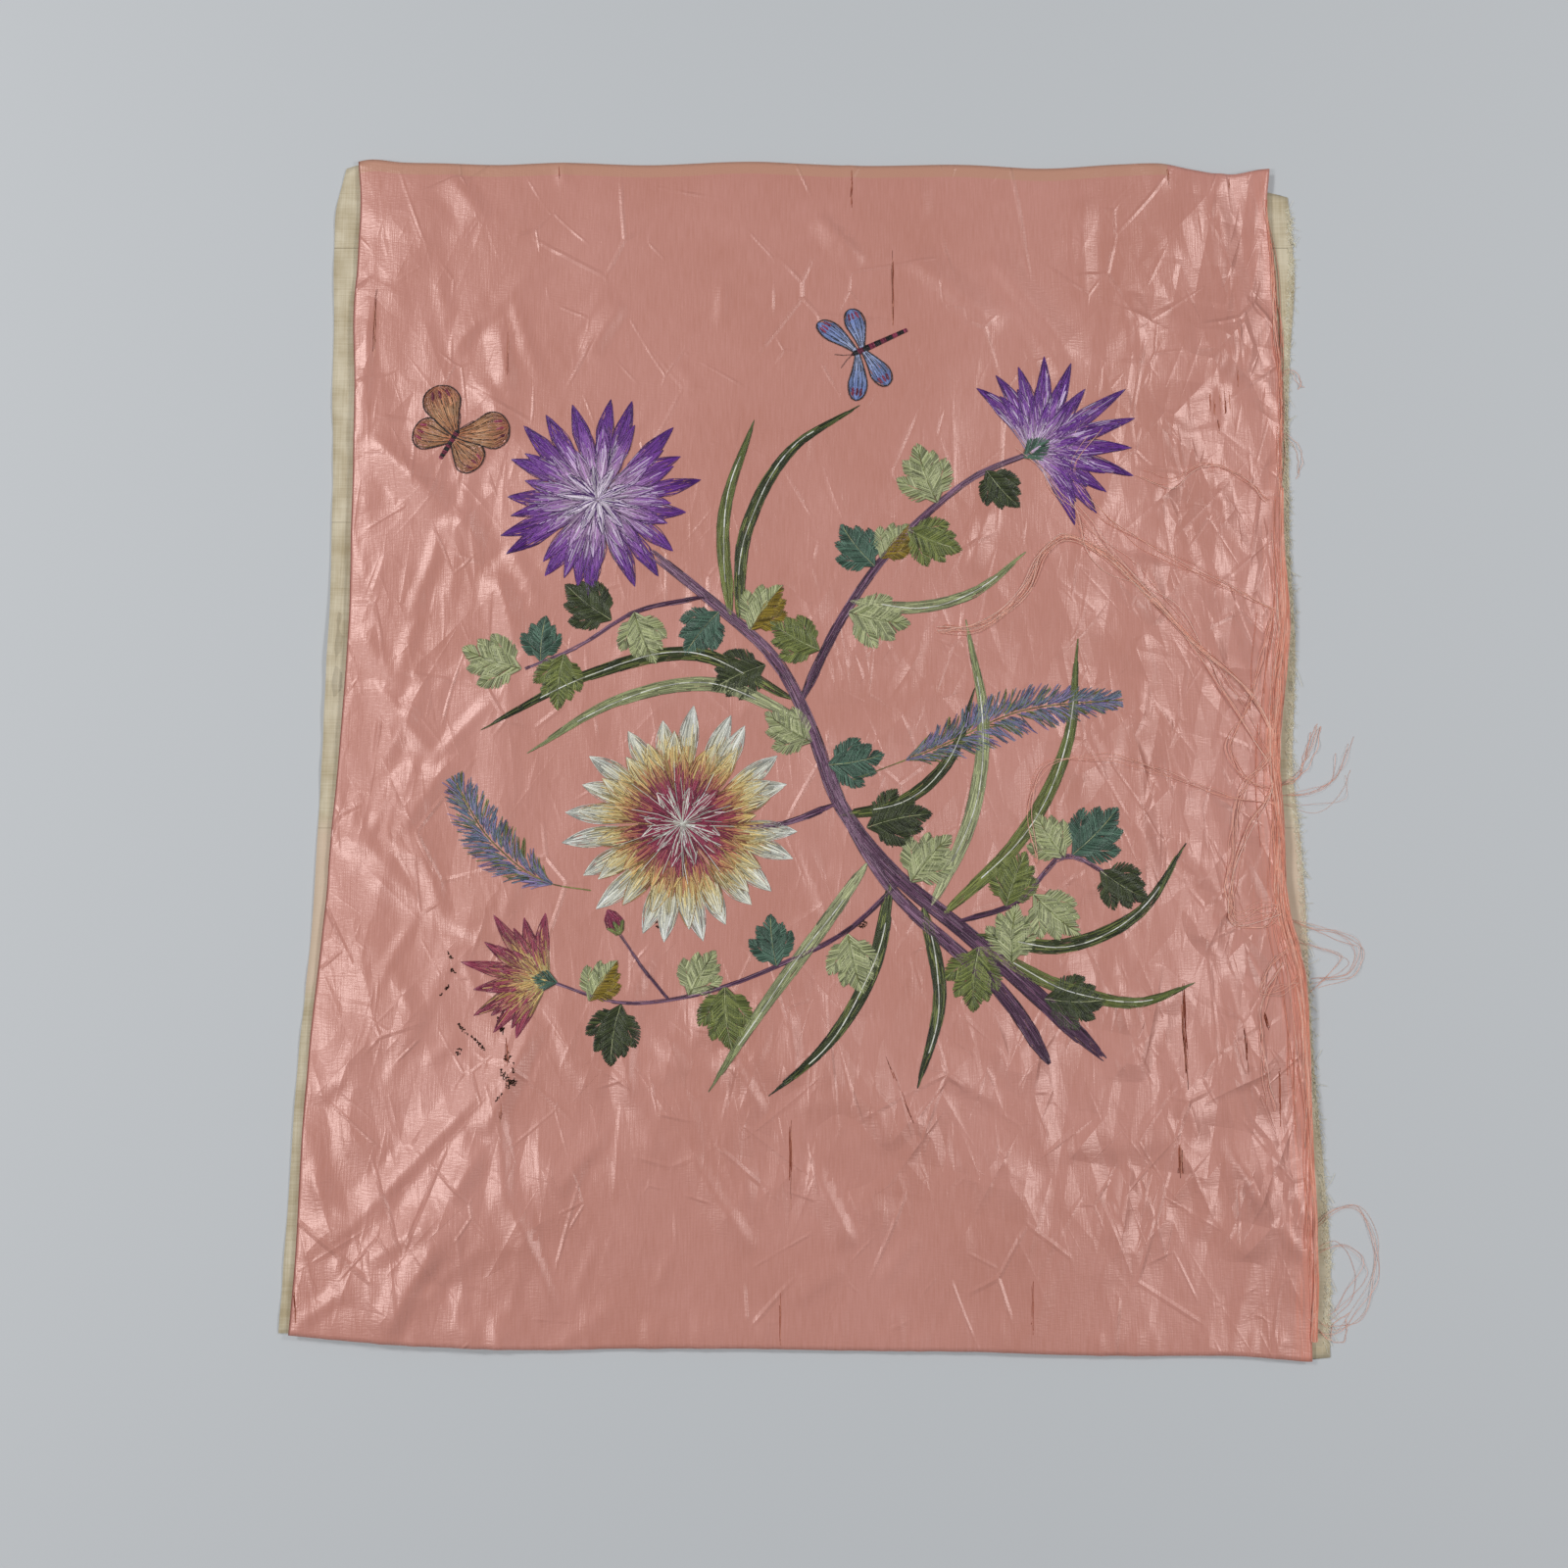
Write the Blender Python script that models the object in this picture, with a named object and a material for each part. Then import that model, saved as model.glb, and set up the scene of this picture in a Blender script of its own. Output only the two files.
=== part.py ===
"""Silk embroidery panel: a crumpled satin face on a cotton lining, frayed along one side.

The panel lies face up on a level surface. Its centre is the origin, +X runs to the right of the
design, +Y to its top and +Z up. Sizes in the tables and constants below are millimetres.
"""

import math
from typing import NamedTuple

import bpy
import numpy as np

MM = 0.001

# Driving dimensions
SHEET_THICKNESS = 1.0
PIECE_GAP = 0.3
LINING_TOP = SHEET_THICKNESS
FACE_UNDERSIDE = LINING_TOP + PIECE_GAP
FACE_TOP = FACE_UNDERSIDE + SHEET_THICKNESS
SELVEDGE_HEIGHT = 7.5
SELVEDGE_STEP = 0.45
SELVEDGE_SHOULDER = 1.2
SELVEDGE_END_X = 193.0
FRAY_WIDTH = 5.6
FRAY_TO_FACE_GAP = 0.9
FRAY_TOP_Y = 286.0
FRAY_BOTTOM_Y = -303.0
FRAY_WALL = 1.2
FRAY_ROOT_HEIGHT = 1.0
FRAY_CROWN_RISE = 1.3
STRAND_HALF = 0.4
STRAND_DESCENT_START = 2.0
STRAND_DESCENT = 4.0
HEM_SETBACK = 4.0
LINING_CORNER_DROP = 15.0

# Walls of the frayed bundle that strands are drawn from, counted round its section
OUTER_WALL = 1
INNER_WALL = 4

# Grid steps across and along the sheets
FACE_COLUMNS = 42
FACE_ROWS = 52
LINING_ROWS = 40
LINING_COLUMN_SHARES = (0.0, 0.008, 0.016, 0.05, 0.25, 0.5, 0.75, 0.95, 0.984, 0.992, 1.0)
FRAY_SEGMENT = 6.0
STRAND_STEP = 5.0
MIN_STRAND_STEPS = 4
STRAND_LOOK_AROUND = 8.0
FOLD_SHARPNESS = 1.3

# Slow waves of the whole face: height, wavelength across and along, phase
WAVE_HEIGHT = 0.8
WAVE_LENGTH_X = 230.0
WAVE_LENGTH_Y = 290.0
WAVE_PHASE = 0.7

# Twist of the frayed bundle: reach and turn of each of its waves along the edge
OUTER_TWIST = ((0.5, 3.7), (0.4, 9.1))
RIDGE_TWIST = ((0.9, 5.3),)
CROWN_TWIST = ((0.4, 4.1), (0.3, 13.0))

# Lift of the lining's free left margin
LIFT_HEIGHT = 2.0
LIFT_WIDTH = 8.0
LIFT_CENTRE_Y = 35.0
LIFT_HALF_LENGTH = 75.0


class SideRow(NamedTuple):
    """Where the side edges stand at one height of the panel."""

    y: float
    face_left: float
    face_right: float
    lining_left: float
    lining_right: float


class EndRow(NamedTuple):
    """Where the top and bottom edges of the face stand at one place across the panel."""

    x: float
    top: float
    bottom: float


class Fold(NamedTuple):
    """A crease of the face: a ridge from one point to another."""

    x0: float
    y0: float
    x1: float
    y1: float
    half_width: float
    rise: float


class Strand(NamedTuple):
    """A loose thread: the height of its root on the frayed side and its way on from there."""

    root_y: float
    over_face: bool
    route: tuple


SIDE_ROWS = (
    SideRow(y=-300.0, face_left=-256.0, face_right=246.5, lining_left=-262.0, lining_right=253.0),
    SideRow(y=-270.0, face_left=-254.5, face_right=248.5, lining_left=-261.0, lining_right=255.0),
    SideRow(y=-221.0, face_left=-253.5, face_right=249.5, lining_left=-259.5, lining_right=254.0),
    SideRow(y=-168.0, face_left=-252.0, face_right=249.5, lining_left=-258.0, lining_right=251.5),
    SideRow(y=-130.0, face_left=-249.5, face_right=247.5, lining_left=-255.5, lining_right=251.0),
    SideRow(y=-92.0, face_left=-246.5, face_right=240.5, lining_left=-253.5, lining_right=251.0),
    SideRow(y=-55.0, face_left=-245.0, face_right=241.5, lining_left=-253.0, lining_right=250.0),
    SideRow(y=-15.0, face_left=-242.5, face_right=240.5, lining_left=-252.0, lining_right=247.5),
    SideRow(y=22.0, face_left=-241.0, face_right=243.0, lining_left=-251.5, lining_right=250.0),
    SideRow(y=57.0, face_left=-240.0, face_right=248.0, lining_left=-251.0, lining_right=252.0),
    SideRow(y=100.0, face_left=-240.5, face_right=249.5, lining_left=-252.0, lining_right=251.0),
    SideRow(y=142.0, face_left=-241.0, face_right=251.0, lining_left=-253.0, lining_right=252.5),
    SideRow(y=184.0, face_left=-242.0, face_right=252.5, lining_left=-255.0, lining_right=254.0),
    SideRow(y=217.0, face_left=-244.0, face_right=252.0, lining_left=-255.5, lining_right=256.5),
    SideRow(y=257.0, face_left=-243.0, face_right=251.5, lining_left=-257.0, lining_right=260.5),
    SideRow(y=285.0, face_left=-243.0, face_right=249.5, lining_left=-256.5, lining_right=260.0),
    SideRow(y=306.0, face_left=-245.0, face_right=252.0, lining_left=-252.0, lining_right=259.0),
)

END_ROWS = (
    EndRow(x=-256.0, top=305.5, bottom=-300.0),
    EndRow(x=-240.0, top=310.5, bottom=-301.5),
    EndRow(x=-222.0, top=309.0, bottom=-303.0),
    EndRow(x=-200.0, top=308.5, bottom=-304.5),
    EndRow(x=-167.0, top=307.5, bottom=-306.0),
    EndRow(x=-139.0, top=309.0, bottom=-307.0),
    EndRow(x=-88.0, top=308.0, bottom=-306.5),
    EndRow(x=-30.0, top=309.5, bottom=-306.5),
    EndRow(x=22.0, top=307.0, bottom=-307.5),
    EndRow(x=84.0, top=308.0, bottom=-308.0),
    EndRow(x=128.0, top=305.5, bottom=-309.5),
    EndRow(x=169.0, top=307.5, bottom=-310.0),
    EndRow(x=192.0, top=307.5, bottom=-310.0),
    EndRow(x=206.0, top=304.5, bottom=-310.0),
    EndRow(x=227.0, top=301.5, bottom=-311.5),
    EndRow(x=245.0, top=305.0, bottom=-312.5),
    EndRow(x=252.0, top=305.5, bottom=-311.5),
)

FOLDS = (
    # Left side, from the top corner down
    Fold(x0=-198, y0=305, x1=-176, y1=276, half_width=12, rise=1.8),
    Fold(x0=-236, y0=235, x1=-236, y1=150, half_width=10, rise=1.6),
    Fold(x0=-192, y0=199, x1=-167, y1=226, half_width=12, rise=1.8),
    Fold(x0=-165, y0=218, x1=-160, y1=175, half_width=12, rise=1.6),
    Fold(x0=-239, y0=142, x1=-199, y1=105, half_width=16, rise=3.4),
    Fold(x0=-199, y0=105, x1=-176, y1=79, half_width=15, rise=3.4),
    Fold(x0=-176, y0=79, x1=-165, y1=47, half_width=13, rise=2.6),
    Fold(x0=-241, y0=47, x1=-222, y1=16, half_width=12, rise=2.0),
    Fold(x0=-227, y0=27, x1=-193, y1=-14, half_width=13, rise=2.2),
    Fold(x0=-196, y0=-9, x1=-220, y1=-50, half_width=14, rise=2.6),
    Fold(x0=-202, y0=-50, x1=-183, y1=-99, half_width=14, rise=3.0),
    Fold(x0=-243, y0=-40, x1=-193, y1=-94, half_width=15, rise=2.4),
    # Lower left, the sharp diagonal and its branches
    Fold(x0=-154, y0=-153, x1=-173, y1=-201, half_width=14, rise=3.2),
    Fold(x0=-173, y0=-201, x1=-191, y1=-230, half_width=16, rise=3.8),
    Fold(x0=-191, y0=-230, x1=-222, y1=-248, half_width=15, rise=3.0),
    Fold(x0=-199, y0=-230, x1=-241, y1=-262, half_width=14, rise=2.6),
    Fold(x0=-195, y0=-253, x1=-220, y1=-295, half_width=14, rise=3.0),
    Fold(x0=-154, y0=-192, x1=-150, y1=-239, half_width=12, rise=2.4),
    Fold(x0=-150, y0=-239, x1=-125, y1=-290, half_width=13, rise=2.4),
    Fold(x0=-126, y0=-234, x1=-100, y1=-201, half_width=12, rise=2.0),
    # Middle of the lower ground
    Fold(x0=-93, y0=-143, x1=-90, y1=-192, half_width=11, rise=1.8),
    Fold(x0=-61, y0=-129, x1=-44, y1=-163, half_width=12, rise=2.2),
    Fold(x0=-44, y0=-163, x1=-24, y1=-196, half_width=12, rise=2.2),
    Fold(x0=-63, y0=-211, x1=-29, y1=-262, half_width=12, rise=1.8),
    Fold(x0=-12, y0=-143, x1=-7, y1=-182, half_width=11, rise=1.6),
    Fold(x0=0, y0=-220, x1=19, y1=-258, half_width=12, rise=1.8),
    Fold(x0=-10, y0=-285, x1=15, y1=-267, half_width=12, rise=1.6),
    Fold(x0=50, y0=-163, x1=93, y1=-192, half_width=14, rise=2.0),
    Fold(x0=109, y0=-153, x1=112, y1=-211, half_width=12, rise=1.6),
    Fold(x0=112, y0=-215, x1=181, y1=-206, half_width=14, rise=1.6),
    # Right side, from the bottom up
    Fold(x0=205, y0=-206, x1=223, y1=-244, half_width=14, rise=3.4),
    Fold(x0=225, y0=-201, x1=236, y1=-248, half_width=12, rise=2.8),
    Fold(x0=188, y0=-148, x1=205, y1=-206, half_width=14, rise=3.2),
    Fold(x0=210, y0=-134, x1=221, y1=-182, half_width=11, rise=2.0),
    Fold(x0=186, y0=-55, x1=219, y1=-109, half_width=14, rise=2.8),
    Fold(x0=203, y0=38, x1=229, y1=11, half_width=12, rise=2.2),
    Fold(x0=196, y0=79, x1=150, y1=94, half_width=12, rise=2.0),
    Fold(x0=190, y0=137, x1=181, y1=110, half_width=11, rise=1.6),
    Fold(x0=211, y0=137, x1=219, y1=100, half_width=11, rise=1.6),
    Fold(x0=238, y0=229, x1=215, y1=185, half_width=12, rise=1.8),
    Fold(x0=215, y0=185, x1=217, y1=158, half_width=11, rise=1.6),
    Fold(x0=216, y0=290, x1=229, y1=207, half_width=12, rise=2.0),
    Fold(x0=170, y0=235, x1=175, y1=191, half_width=11, rise=1.4),
    # Top
    Fold(x0=147, y0=290, x1=146, y1=229, half_width=11, rise=1.6),
    Fold(x0=96, y0=257, x1=142, y1=191, half_width=14, rise=1.6),
    Fold(x0=49, y0=257, x1=101, y1=213, half_width=15, rise=2.2),
    Fold(x0=2, y0=279, x1=28, y1=251, half_width=12, rise=1.8),
    Fold(x0=94, y0=116, x1=80, y1=79, half_width=11, rise=1.4),
    Fold(x0=-119, y0=199, x1=-99, y1=232, half_width=12, rise=1.8),
)

STRANDS = (
    # Over the table, from the top down
    Strand(root_y=152, over_face=False, route=((260, 160), (267, 158), (270, 150))),
    Strand(root_y=122, over_face=False, route=((259, 116), (264, 108), (262, 98), (257, 88))),
    Strand(root_y=-14, over_face=False, route=((252, -12), (258, -3), (263, 5))),
    Strand(root_y=-30, over_face=False, route=((252, -27), (262, -17), (270, -3), (275, 0))),
    Strand(root_y=-46, over_face=False, route=((254, -42), (266, -33), (275, -22), (279, -12))),
    Strand(root_y=-62, over_face=False, route=((256, -60), (268, -52), (278, -38), (281, -28))),
    Strand(root_y=-96, over_face=False, route=((256, -94), (268, -101), (276, -106), (281, -102))),
    Strand(root_y=-112, over_face=False, route=((256, -108), (266, -112), (273, -118), (264, -126))),
    Strand(root_y=-240, over_face=False,
           route=((257, -238), (264, -236), (274, -240), (279, -256), (279, -276), (273, -292), (262, -299))),
    Strand(root_y=-264, over_face=False, route=((259, -266), (266, -272), (266, -284), (259, -291))),
    # Over the face
    Strand(root_y=-2, over_face=True,
           route=((231, 12), (217, 25), (203, 38), (188, 54), (175, 68), (161, 82), (148, 94),
                  (134, 98), (122, 104), (112, 98), (104, 84), (90, 70), (72, 58))),
    Strand(root_y=-26, over_face=True,
           route=((226, -34), (210, -37), (194, -31), (172, -23), (150, -18), (132, -18), (120, -26),
                  (117, -42), (119, -62))),
    Strand(root_y=-84, over_face=True, route=((226, -90), (216, -84), (215, -74), (222, -62), (230, -54))),
)


def column(rows, name):
    """One named column of a table, as an array."""
    return np.array([getattr(row, name) for row in rows], dtype=float)


def curve_through(stations, values, at):
    """Value at a station, on a smooth curve through the points of a table."""
    at = np.clip(np.asarray(at, dtype=float), stations[0], stations[-1])
    slopes = np.gradient(values, stations)
    low = np.clip(np.searchsorted(stations, at) - 1, 0, len(stations) - 2)
    span = stations[low + 1] - stations[low]
    t = (at - stations[low]) / span
    rise = values[low + 1] - values[low]
    start_bend = slopes[low] * span - rise
    end_bend = rise - slopes[low + 1] * span
    return values[low] + rise * t + t * (1 - t) * (start_bend * (1 - t) + end_bend * t)


def side_edge(name, y):
    """Place across the panel of a named side edge, at height y."""
    return curve_through(column(SIDE_ROWS, "y"), column(SIDE_ROWS, name), y)


def end_edge(name, x):
    """Place up the panel of the face's top or bottom edge, at x."""
    return curve_through(column(END_ROWS, "x"), column(END_ROWS, name), x)


def end_level(row, share):
    """Height on the panel at a share of the way from the bottom edge to the top one."""
    return row.bottom + share * (row.top - row.bottom)


def face_rise(x, y):
    """Height of the face above its lowest lie: slow waves and the highest fold at each point."""
    wave_x = np.sin(2 * math.pi * x / WAVE_LENGTH_X + WAVE_PHASE)
    wave_y = np.sin(2 * math.pi * y / WAVE_LENGTH_Y - WAVE_PHASE)
    ridges = np.zeros_like(x, dtype=float)
    for fold in FOLDS:
        run_x = fold.x1 - fold.x0
        run_y = fold.y1 - fold.y0
        along = ((x - fold.x0) * run_x + (y - fold.y0) * run_y) / (run_x ** 2 + run_y ** 2)
        along = np.clip(along, 0.0, 1.0)
        distance = np.hypot(x - fold.x0 - along * run_x, y - fold.y0 - along * run_y)
        share = np.clip(1.0 - distance / fold.half_width, 0.0, 1.0)
        ridges = np.maximum(ridges, fold.rise * share ** FOLD_SHARPNESS)
    return WAVE_HEIGHT * (0.5 + 0.25 * (wave_x + wave_y)) + ridges


def lining_lift(x, y):
    """Height of the lining's underside: its left margin lifts a little along one stretch."""
    inset = np.clip(1.0 - (x - side_edge("lining_left", y)) / LIFT_WIDTH, 0.0, 1.0)
    stretch = np.clip(1.0 - np.abs(y - LIFT_CENTRE_Y) / LIFT_HALF_LENGTH, 0.0, 1.0)
    return LIFT_HEIGHT * inset ** 2 * stretch


def sheet_body(x, y, low, high):
    """Vertices and faces of a closed sheet over a grid of points with a low and a high side."""
    columns, rows = x.shape
    count = columns * rows
    verts = [tuple(point) for side in (low, high) for point in np.stack((x, y, side), axis=-1).reshape(-1, 3)]

    def at(i, j, side):
        return side * count + i * rows + j

    faces = []
    for i in range(columns - 1):
        for j in range(rows - 1):
            faces.append((at(i, j, 1), at(i + 1, j, 1), at(i + 1, j + 1, 1), at(i, j + 1, 1)))
            faces.append((at(i, j, 0), at(i, j + 1, 0), at(i + 1, j + 1, 0), at(i + 1, j, 0)))
    for i in range(columns - 1):
        faces.append((at(i, 0, 0), at(i + 1, 0, 0), at(i + 1, 0, 1), at(i, 0, 1)))
        faces.append((at(i + 1, rows - 1, 0), at(i, rows - 1, 0), at(i, rows - 1, 1), at(i + 1, rows - 1, 1)))
    for j in range(rows - 1):
        faces.append((at(0, j + 1, 0), at(0, j, 0), at(0, j, 1), at(0, j + 1, 1)))
        faces.append((at(columns - 1, j, 0), at(columns - 1, j + 1, 0),
                      at(columns - 1, j + 1, 1), at(columns - 1, j, 1)))
    return verts, faces


def edge_shares(steps, lines):
    """Evenly spaced shares from 0 to 1, with lines of the grid moved onto given places."""
    shares = np.linspace(0.0, 1.0, steps + 1)
    for line in lines:
        shares[1 + np.argmin(np.abs(shares[1:-1] - line))] = line
    return np.sort(shares)


def satin_face():
    """The satin ground, with its selvedge band raised along the top edge."""
    height = 2 * END_ROWS[-1].top
    width = 2 * SIDE_ROWS[-1].face_right
    band_foot = 1.0 - (SELVEDGE_HEIGHT + SELVEDGE_SHOULDER) / height
    band_edge = 1.0 - SELVEDGE_HEIGHT / height
    band_end = 0.5 + SELVEDGE_END_X / width
    shares_y = np.append(edge_shares(FACE_ROWS, (band_foot,)), band_edge)
    shares_y = np.sort(shares_y)
    shares_x = edge_shares(FACE_COLUMNS, (band_end, band_end + SELVEDGE_SHOULDER / width))
    u, v = np.meshgrid(shares_x, shares_y, indexing="ij")
    left = side_edge("face_left", end_level(END_ROWS[0], v))
    right = side_edge("face_right", end_level(END_ROWS[-1], v)) - FRAY_WIDTH - FRAY_TO_FACE_GAP
    x = left + u * (right - left)
    foot = end_edge("bottom", x[:, :1])
    head = end_edge("top", x[:, -1:])
    y = foot + v * (head - foot)
    rise = face_rise(x, y)
    band = (v >= band_edge - 1e-9) & (u <= band_end + 1e-9)
    top = FACE_TOP + rise + SELVEDGE_STEP * band
    return sheet_body(x, y, FACE_UNDERSIDE + rise, top)


def cotton_lining():
    """The lining, a little shorter than the face and wider at both sides."""
    u, v = np.meshgrid(LINING_COLUMN_SHARES, np.linspace(0.0, 1.0, LINING_ROWS + 1), indexing="ij")
    left = side_edge("lining_left", end_level(END_ROWS[0], v))
    right = side_edge("lining_right", end_level(END_ROWS[-1], v))
    x = left + u * (right - left)
    foot = end_edge("bottom", x[:, :1]) + HEM_SETBACK * np.sin(math.pi * u[:, :1])
    corner_drop = LINING_CORNER_DROP * u[:, -1:] ** 2
    head = end_edge("top", x[:, -1:]) - HEM_SETBACK * np.sin(math.pi * u[:, -1:]) - corner_drop
    y = foot + v * (head - foot)
    underside = lining_lift(x, y)
    return sheet_body(x, y, underside, underside + LINING_TOP)


def twist(y, waves):
    """Sum of the waves of a twisted bundle at height y."""
    return sum(reach * math.sin(y / turn) for reach, turn in waves)


def fray_section(y):
    """The frayed bundle's ring of points at height y, from its inner foot round by the outside."""
    edge = float(side_edge("face_right", y))
    outer = edge + twist(y, OUTER_TWIST)
    inner = edge - FRAY_WIDTH
    ridge = 0.5 * (inner + outer) + twist(y, RIDGE_TWIST)
    face_edge = inner - FRAY_TO_FACE_GAP
    shoulder = FACE_TOP + float(face_rise(np.array(face_edge), np.array(y))) + PIECE_GAP
    crown = shoulder + FRAY_CROWN_RISE + twist(y, CROWN_TWIST)
    return (
        (inner, y, FACE_UNDERSIDE),
        (outer, y, FACE_UNDERSIDE),
        (outer, y, FACE_UNDERSIDE + FRAY_WALL),
        (ridge, y, crown),
        (inner, y, shoulder + FRAY_ROOT_HEIGHT),
        (inner, y, shoulder),
    )


def fray_bundle():
    """Rings and wall faces of the bundle, each face keyed by its segment and its side."""
    rings = int(round((FRAY_TOP_Y - FRAY_BOTTOM_Y) / FRAY_SEGMENT)) + 1
    levels = np.linspace(FRAY_BOTTOM_Y, FRAY_TOP_Y, rings)
    verts = []
    for y in levels:
        verts.extend(fray_section(float(y)))
    sides = len(fray_section(0.0))
    walls = {}
    for ring in range(rings - 1):
        for side in range(sides):
            after = (side + 1) % sides
            low = ring * sides
            high = low + sides
            walls[ring, side] = (low + side, high + side, high + after, low + after)
    ends = [tuple(range(sides)), tuple(reversed(range((rings - 1) * sides, rings * sides)))]
    return levels, verts, walls, ends


def table_height(x, y):
    """Height of a strand's centre off the face: over the lining's margin, then down to the table."""
    over = LINING_TOP + PIECE_GAP + STRAND_HALF
    past_lining = x - float(side_edge("lining_right", y)) - STRAND_DESCENT_START
    drop = min(max(past_lining / STRAND_DESCENT, 0.0), 1.0)
    return over + drop * (STRAND_HALF - over)


def above_face(x, y):
    """Height of a strand's centre over the face, clear of the highest fold near it."""
    around = np.array([-STRAND_LOOK_AROUND, 0.0, STRAND_LOOK_AROUND])
    near_x, near_y = np.meshgrid(x + around, y + around)
    return FACE_TOP + float(np.max(face_rise(near_x, near_y))) + STRAND_HALF + 2 * PIECE_GAP


def route_points(start, strand):
    """Centres along a strand, a step apart on a smooth curve through its route."""
    knots = np.array([start, *strand.route], dtype=float)
    run = np.concatenate(([0.0], np.cumsum(np.hypot(*np.diff(knots, axis=0).T))))
    steps = max(MIN_STRAND_STEPS, int(run[-1] / STRAND_STEP))
    at = np.linspace(0.0, run[-1], steps + 1)[1:]
    xs = curve_through(run, knots[:, 0], at)
    ys = curve_through(run, knots[:, 1], at)
    height = above_face if strand.over_face else table_height
    return [(float(x), float(y), height(float(x), float(y))) for x, y in zip(xs, ys)]


def add_strand(verts, faces, root, points, heading):
    """Draw a square strand out of a wall face, through its points."""
    ring = root
    for index, point in enumerate(points):
        before = points[max(index - 1, 0)]
        after = points[min(index + 1, len(points) - 1)]
        run = np.array(after[:2]) - np.array(before[:2])
        run = run / np.linalg.norm(run) if index else heading
        aside = np.array((-run[1], run[0], 0.0)) * STRAND_HALF
        up = np.array((0.0, 0.0, STRAND_HALF))
        centre = np.array(point)
        first = len(verts)
        for corner in (-aside - up, aside - up, aside + up, -aside + up):
            verts.append(tuple(centre + corner))
        new_ring = tuple(range(first, first + 4))
        for side in range(4):
            after_side = (side + 1) % 4
            faces.append((ring[side], ring[after_side], new_ring[after_side], new_ring[side]))
        ring = new_ring
    faces.append(ring)


def root_corners(verts, root, heading):
    """The wall face's corners, turned so that they start at the low corner right of the heading."""
    aside = np.array((-heading[1], heading[0], 0.0))
    low = sorted(root, key=lambda index: verts[index][2])[:2]
    first = min(low, key=lambda index: float(np.dot(verts[index], aside)))
    start = root.index(first)
    return root[start:] + root[:start]


def frayed_edge():
    """The frayed bundle along the right side, with its loose threads drawn out of it."""
    levels, verts, walls, ends = fray_bundle()
    faces = list(ends)
    for strand in STRANDS:
        segment = int(np.argmin(np.abs(levels[:-1] + FRAY_SEGMENT / 2 - strand.root_y)))
        side = INNER_WALL if strand.over_face else OUTER_WALL
        root = walls.pop((segment, side))
        middle = np.mean([verts[index] for index in root], axis=0)
        heading = np.array((-1.0, 0.0)) if strand.over_face else np.array((1.0, 0.0))
        corners = root_corners(verts, root, heading)
        add_strand(verts, faces, corners, route_points(tuple(middle[:2]), strand), heading)
    faces.extend(walls.values())
    return verts, faces


def principled(name, colour, roughness):
    """A cloth material with its colour and roughness."""
    material = bpy.data.materials.new(name)
    material.use_nodes = True
    shader = material.node_tree.nodes["Principled BSDF"]
    shader.inputs["Base Color"].default_value = (*colour, 1.0)
    shader.inputs["Roughness"].default_value = roughness
    shader.inputs["Metallic"].default_value = 0.0
    return material


def add_object(name, body, material):
    """One named object from a body's vertices and faces, given in millimetres."""
    verts, faces = body
    mesh = bpy.data.meshes.new(name)
    mesh.from_pydata([tuple(MM * value for value in vert) for vert in verts], [], faces)
    mesh.shade_smooth()
    mesh.materials.append(material)
    thing = bpy.data.objects.new(name, mesh)
    bpy.context.scene.collection.objects.link(thing)
    return thing


def clear_scene():
    """Remove whatever the scene holds."""
    for thing in list(bpy.data.objects):
        bpy.data.objects.remove(thing, do_unlink=True)


def main():
    """Build the panel's three pieces."""
    clear_scene()
    satin = principled("silk_satin", (0.50, 0.24, 0.21), 0.38)
    cotton = principled("cotton_lining", (0.48, 0.40, 0.30), 0.90)
    thread = principled("loose_thread", (0.56, 0.24, 0.18), 0.55)
    add_object("satin_face", satin_face(), satin)
    add_object("cotton_lining", cotton_lining(), cotton)
    add_object("frayed_edge", frayed_edge(), thread)


main()
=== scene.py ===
"""Silk embroidery panel, dressed: crumpled satin, cotton lining, worked flowers and frayed threads.

Sizes are in millimetres unless a name says otherwise; meshes are written in metres.
"""

import logging
import math
from dataclasses import dataclass, field
from enum import Enum
from functools import partial
from typing import Callable, NamedTuple, Sequence

import bpy
import numpy as np
from bpy.types import Material, Node, NodeSocket, NodeTree, Object
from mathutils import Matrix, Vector, geometry
from mathutils.bvhtree import BVHTree


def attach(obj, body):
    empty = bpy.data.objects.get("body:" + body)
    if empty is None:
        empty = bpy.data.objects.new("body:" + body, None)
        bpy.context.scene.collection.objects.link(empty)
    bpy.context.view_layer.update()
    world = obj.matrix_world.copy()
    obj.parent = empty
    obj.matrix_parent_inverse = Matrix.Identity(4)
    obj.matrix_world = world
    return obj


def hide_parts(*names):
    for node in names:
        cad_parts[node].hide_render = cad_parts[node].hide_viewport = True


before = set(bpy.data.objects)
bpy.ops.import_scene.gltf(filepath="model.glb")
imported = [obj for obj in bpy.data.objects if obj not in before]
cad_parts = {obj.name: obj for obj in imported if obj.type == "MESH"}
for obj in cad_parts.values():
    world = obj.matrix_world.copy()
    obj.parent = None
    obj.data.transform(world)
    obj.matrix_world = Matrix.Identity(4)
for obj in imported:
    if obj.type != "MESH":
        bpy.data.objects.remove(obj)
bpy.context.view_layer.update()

MM = 0.001
SEED = 1911
LOG = logging.getLogger("silk_panel")
Adder = Callable[..., Node]
Array = np.ndarray
Random = np.random.Generator


# Colour, nodes and meshes


def linear(hex_colour: str) -> tuple[float, float, float, float]:
    """Turn an sRGB colour into linear light.

    Args:
        hex_colour: the colour as a hash and six hexadecimal digits.
    Returns:
        Red, green, blue and an alpha of one.
    """
    values = [int(hex_colour[i:i + 2], 16) / 255 for i in (1, 3, 5)]
    light = [v / 12.92 if v <= 0.04045 else ((v + 0.055) / 1.055) ** 2.4 for v in values]
    return (light[0], light[1], light[2], 1.0)


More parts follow.
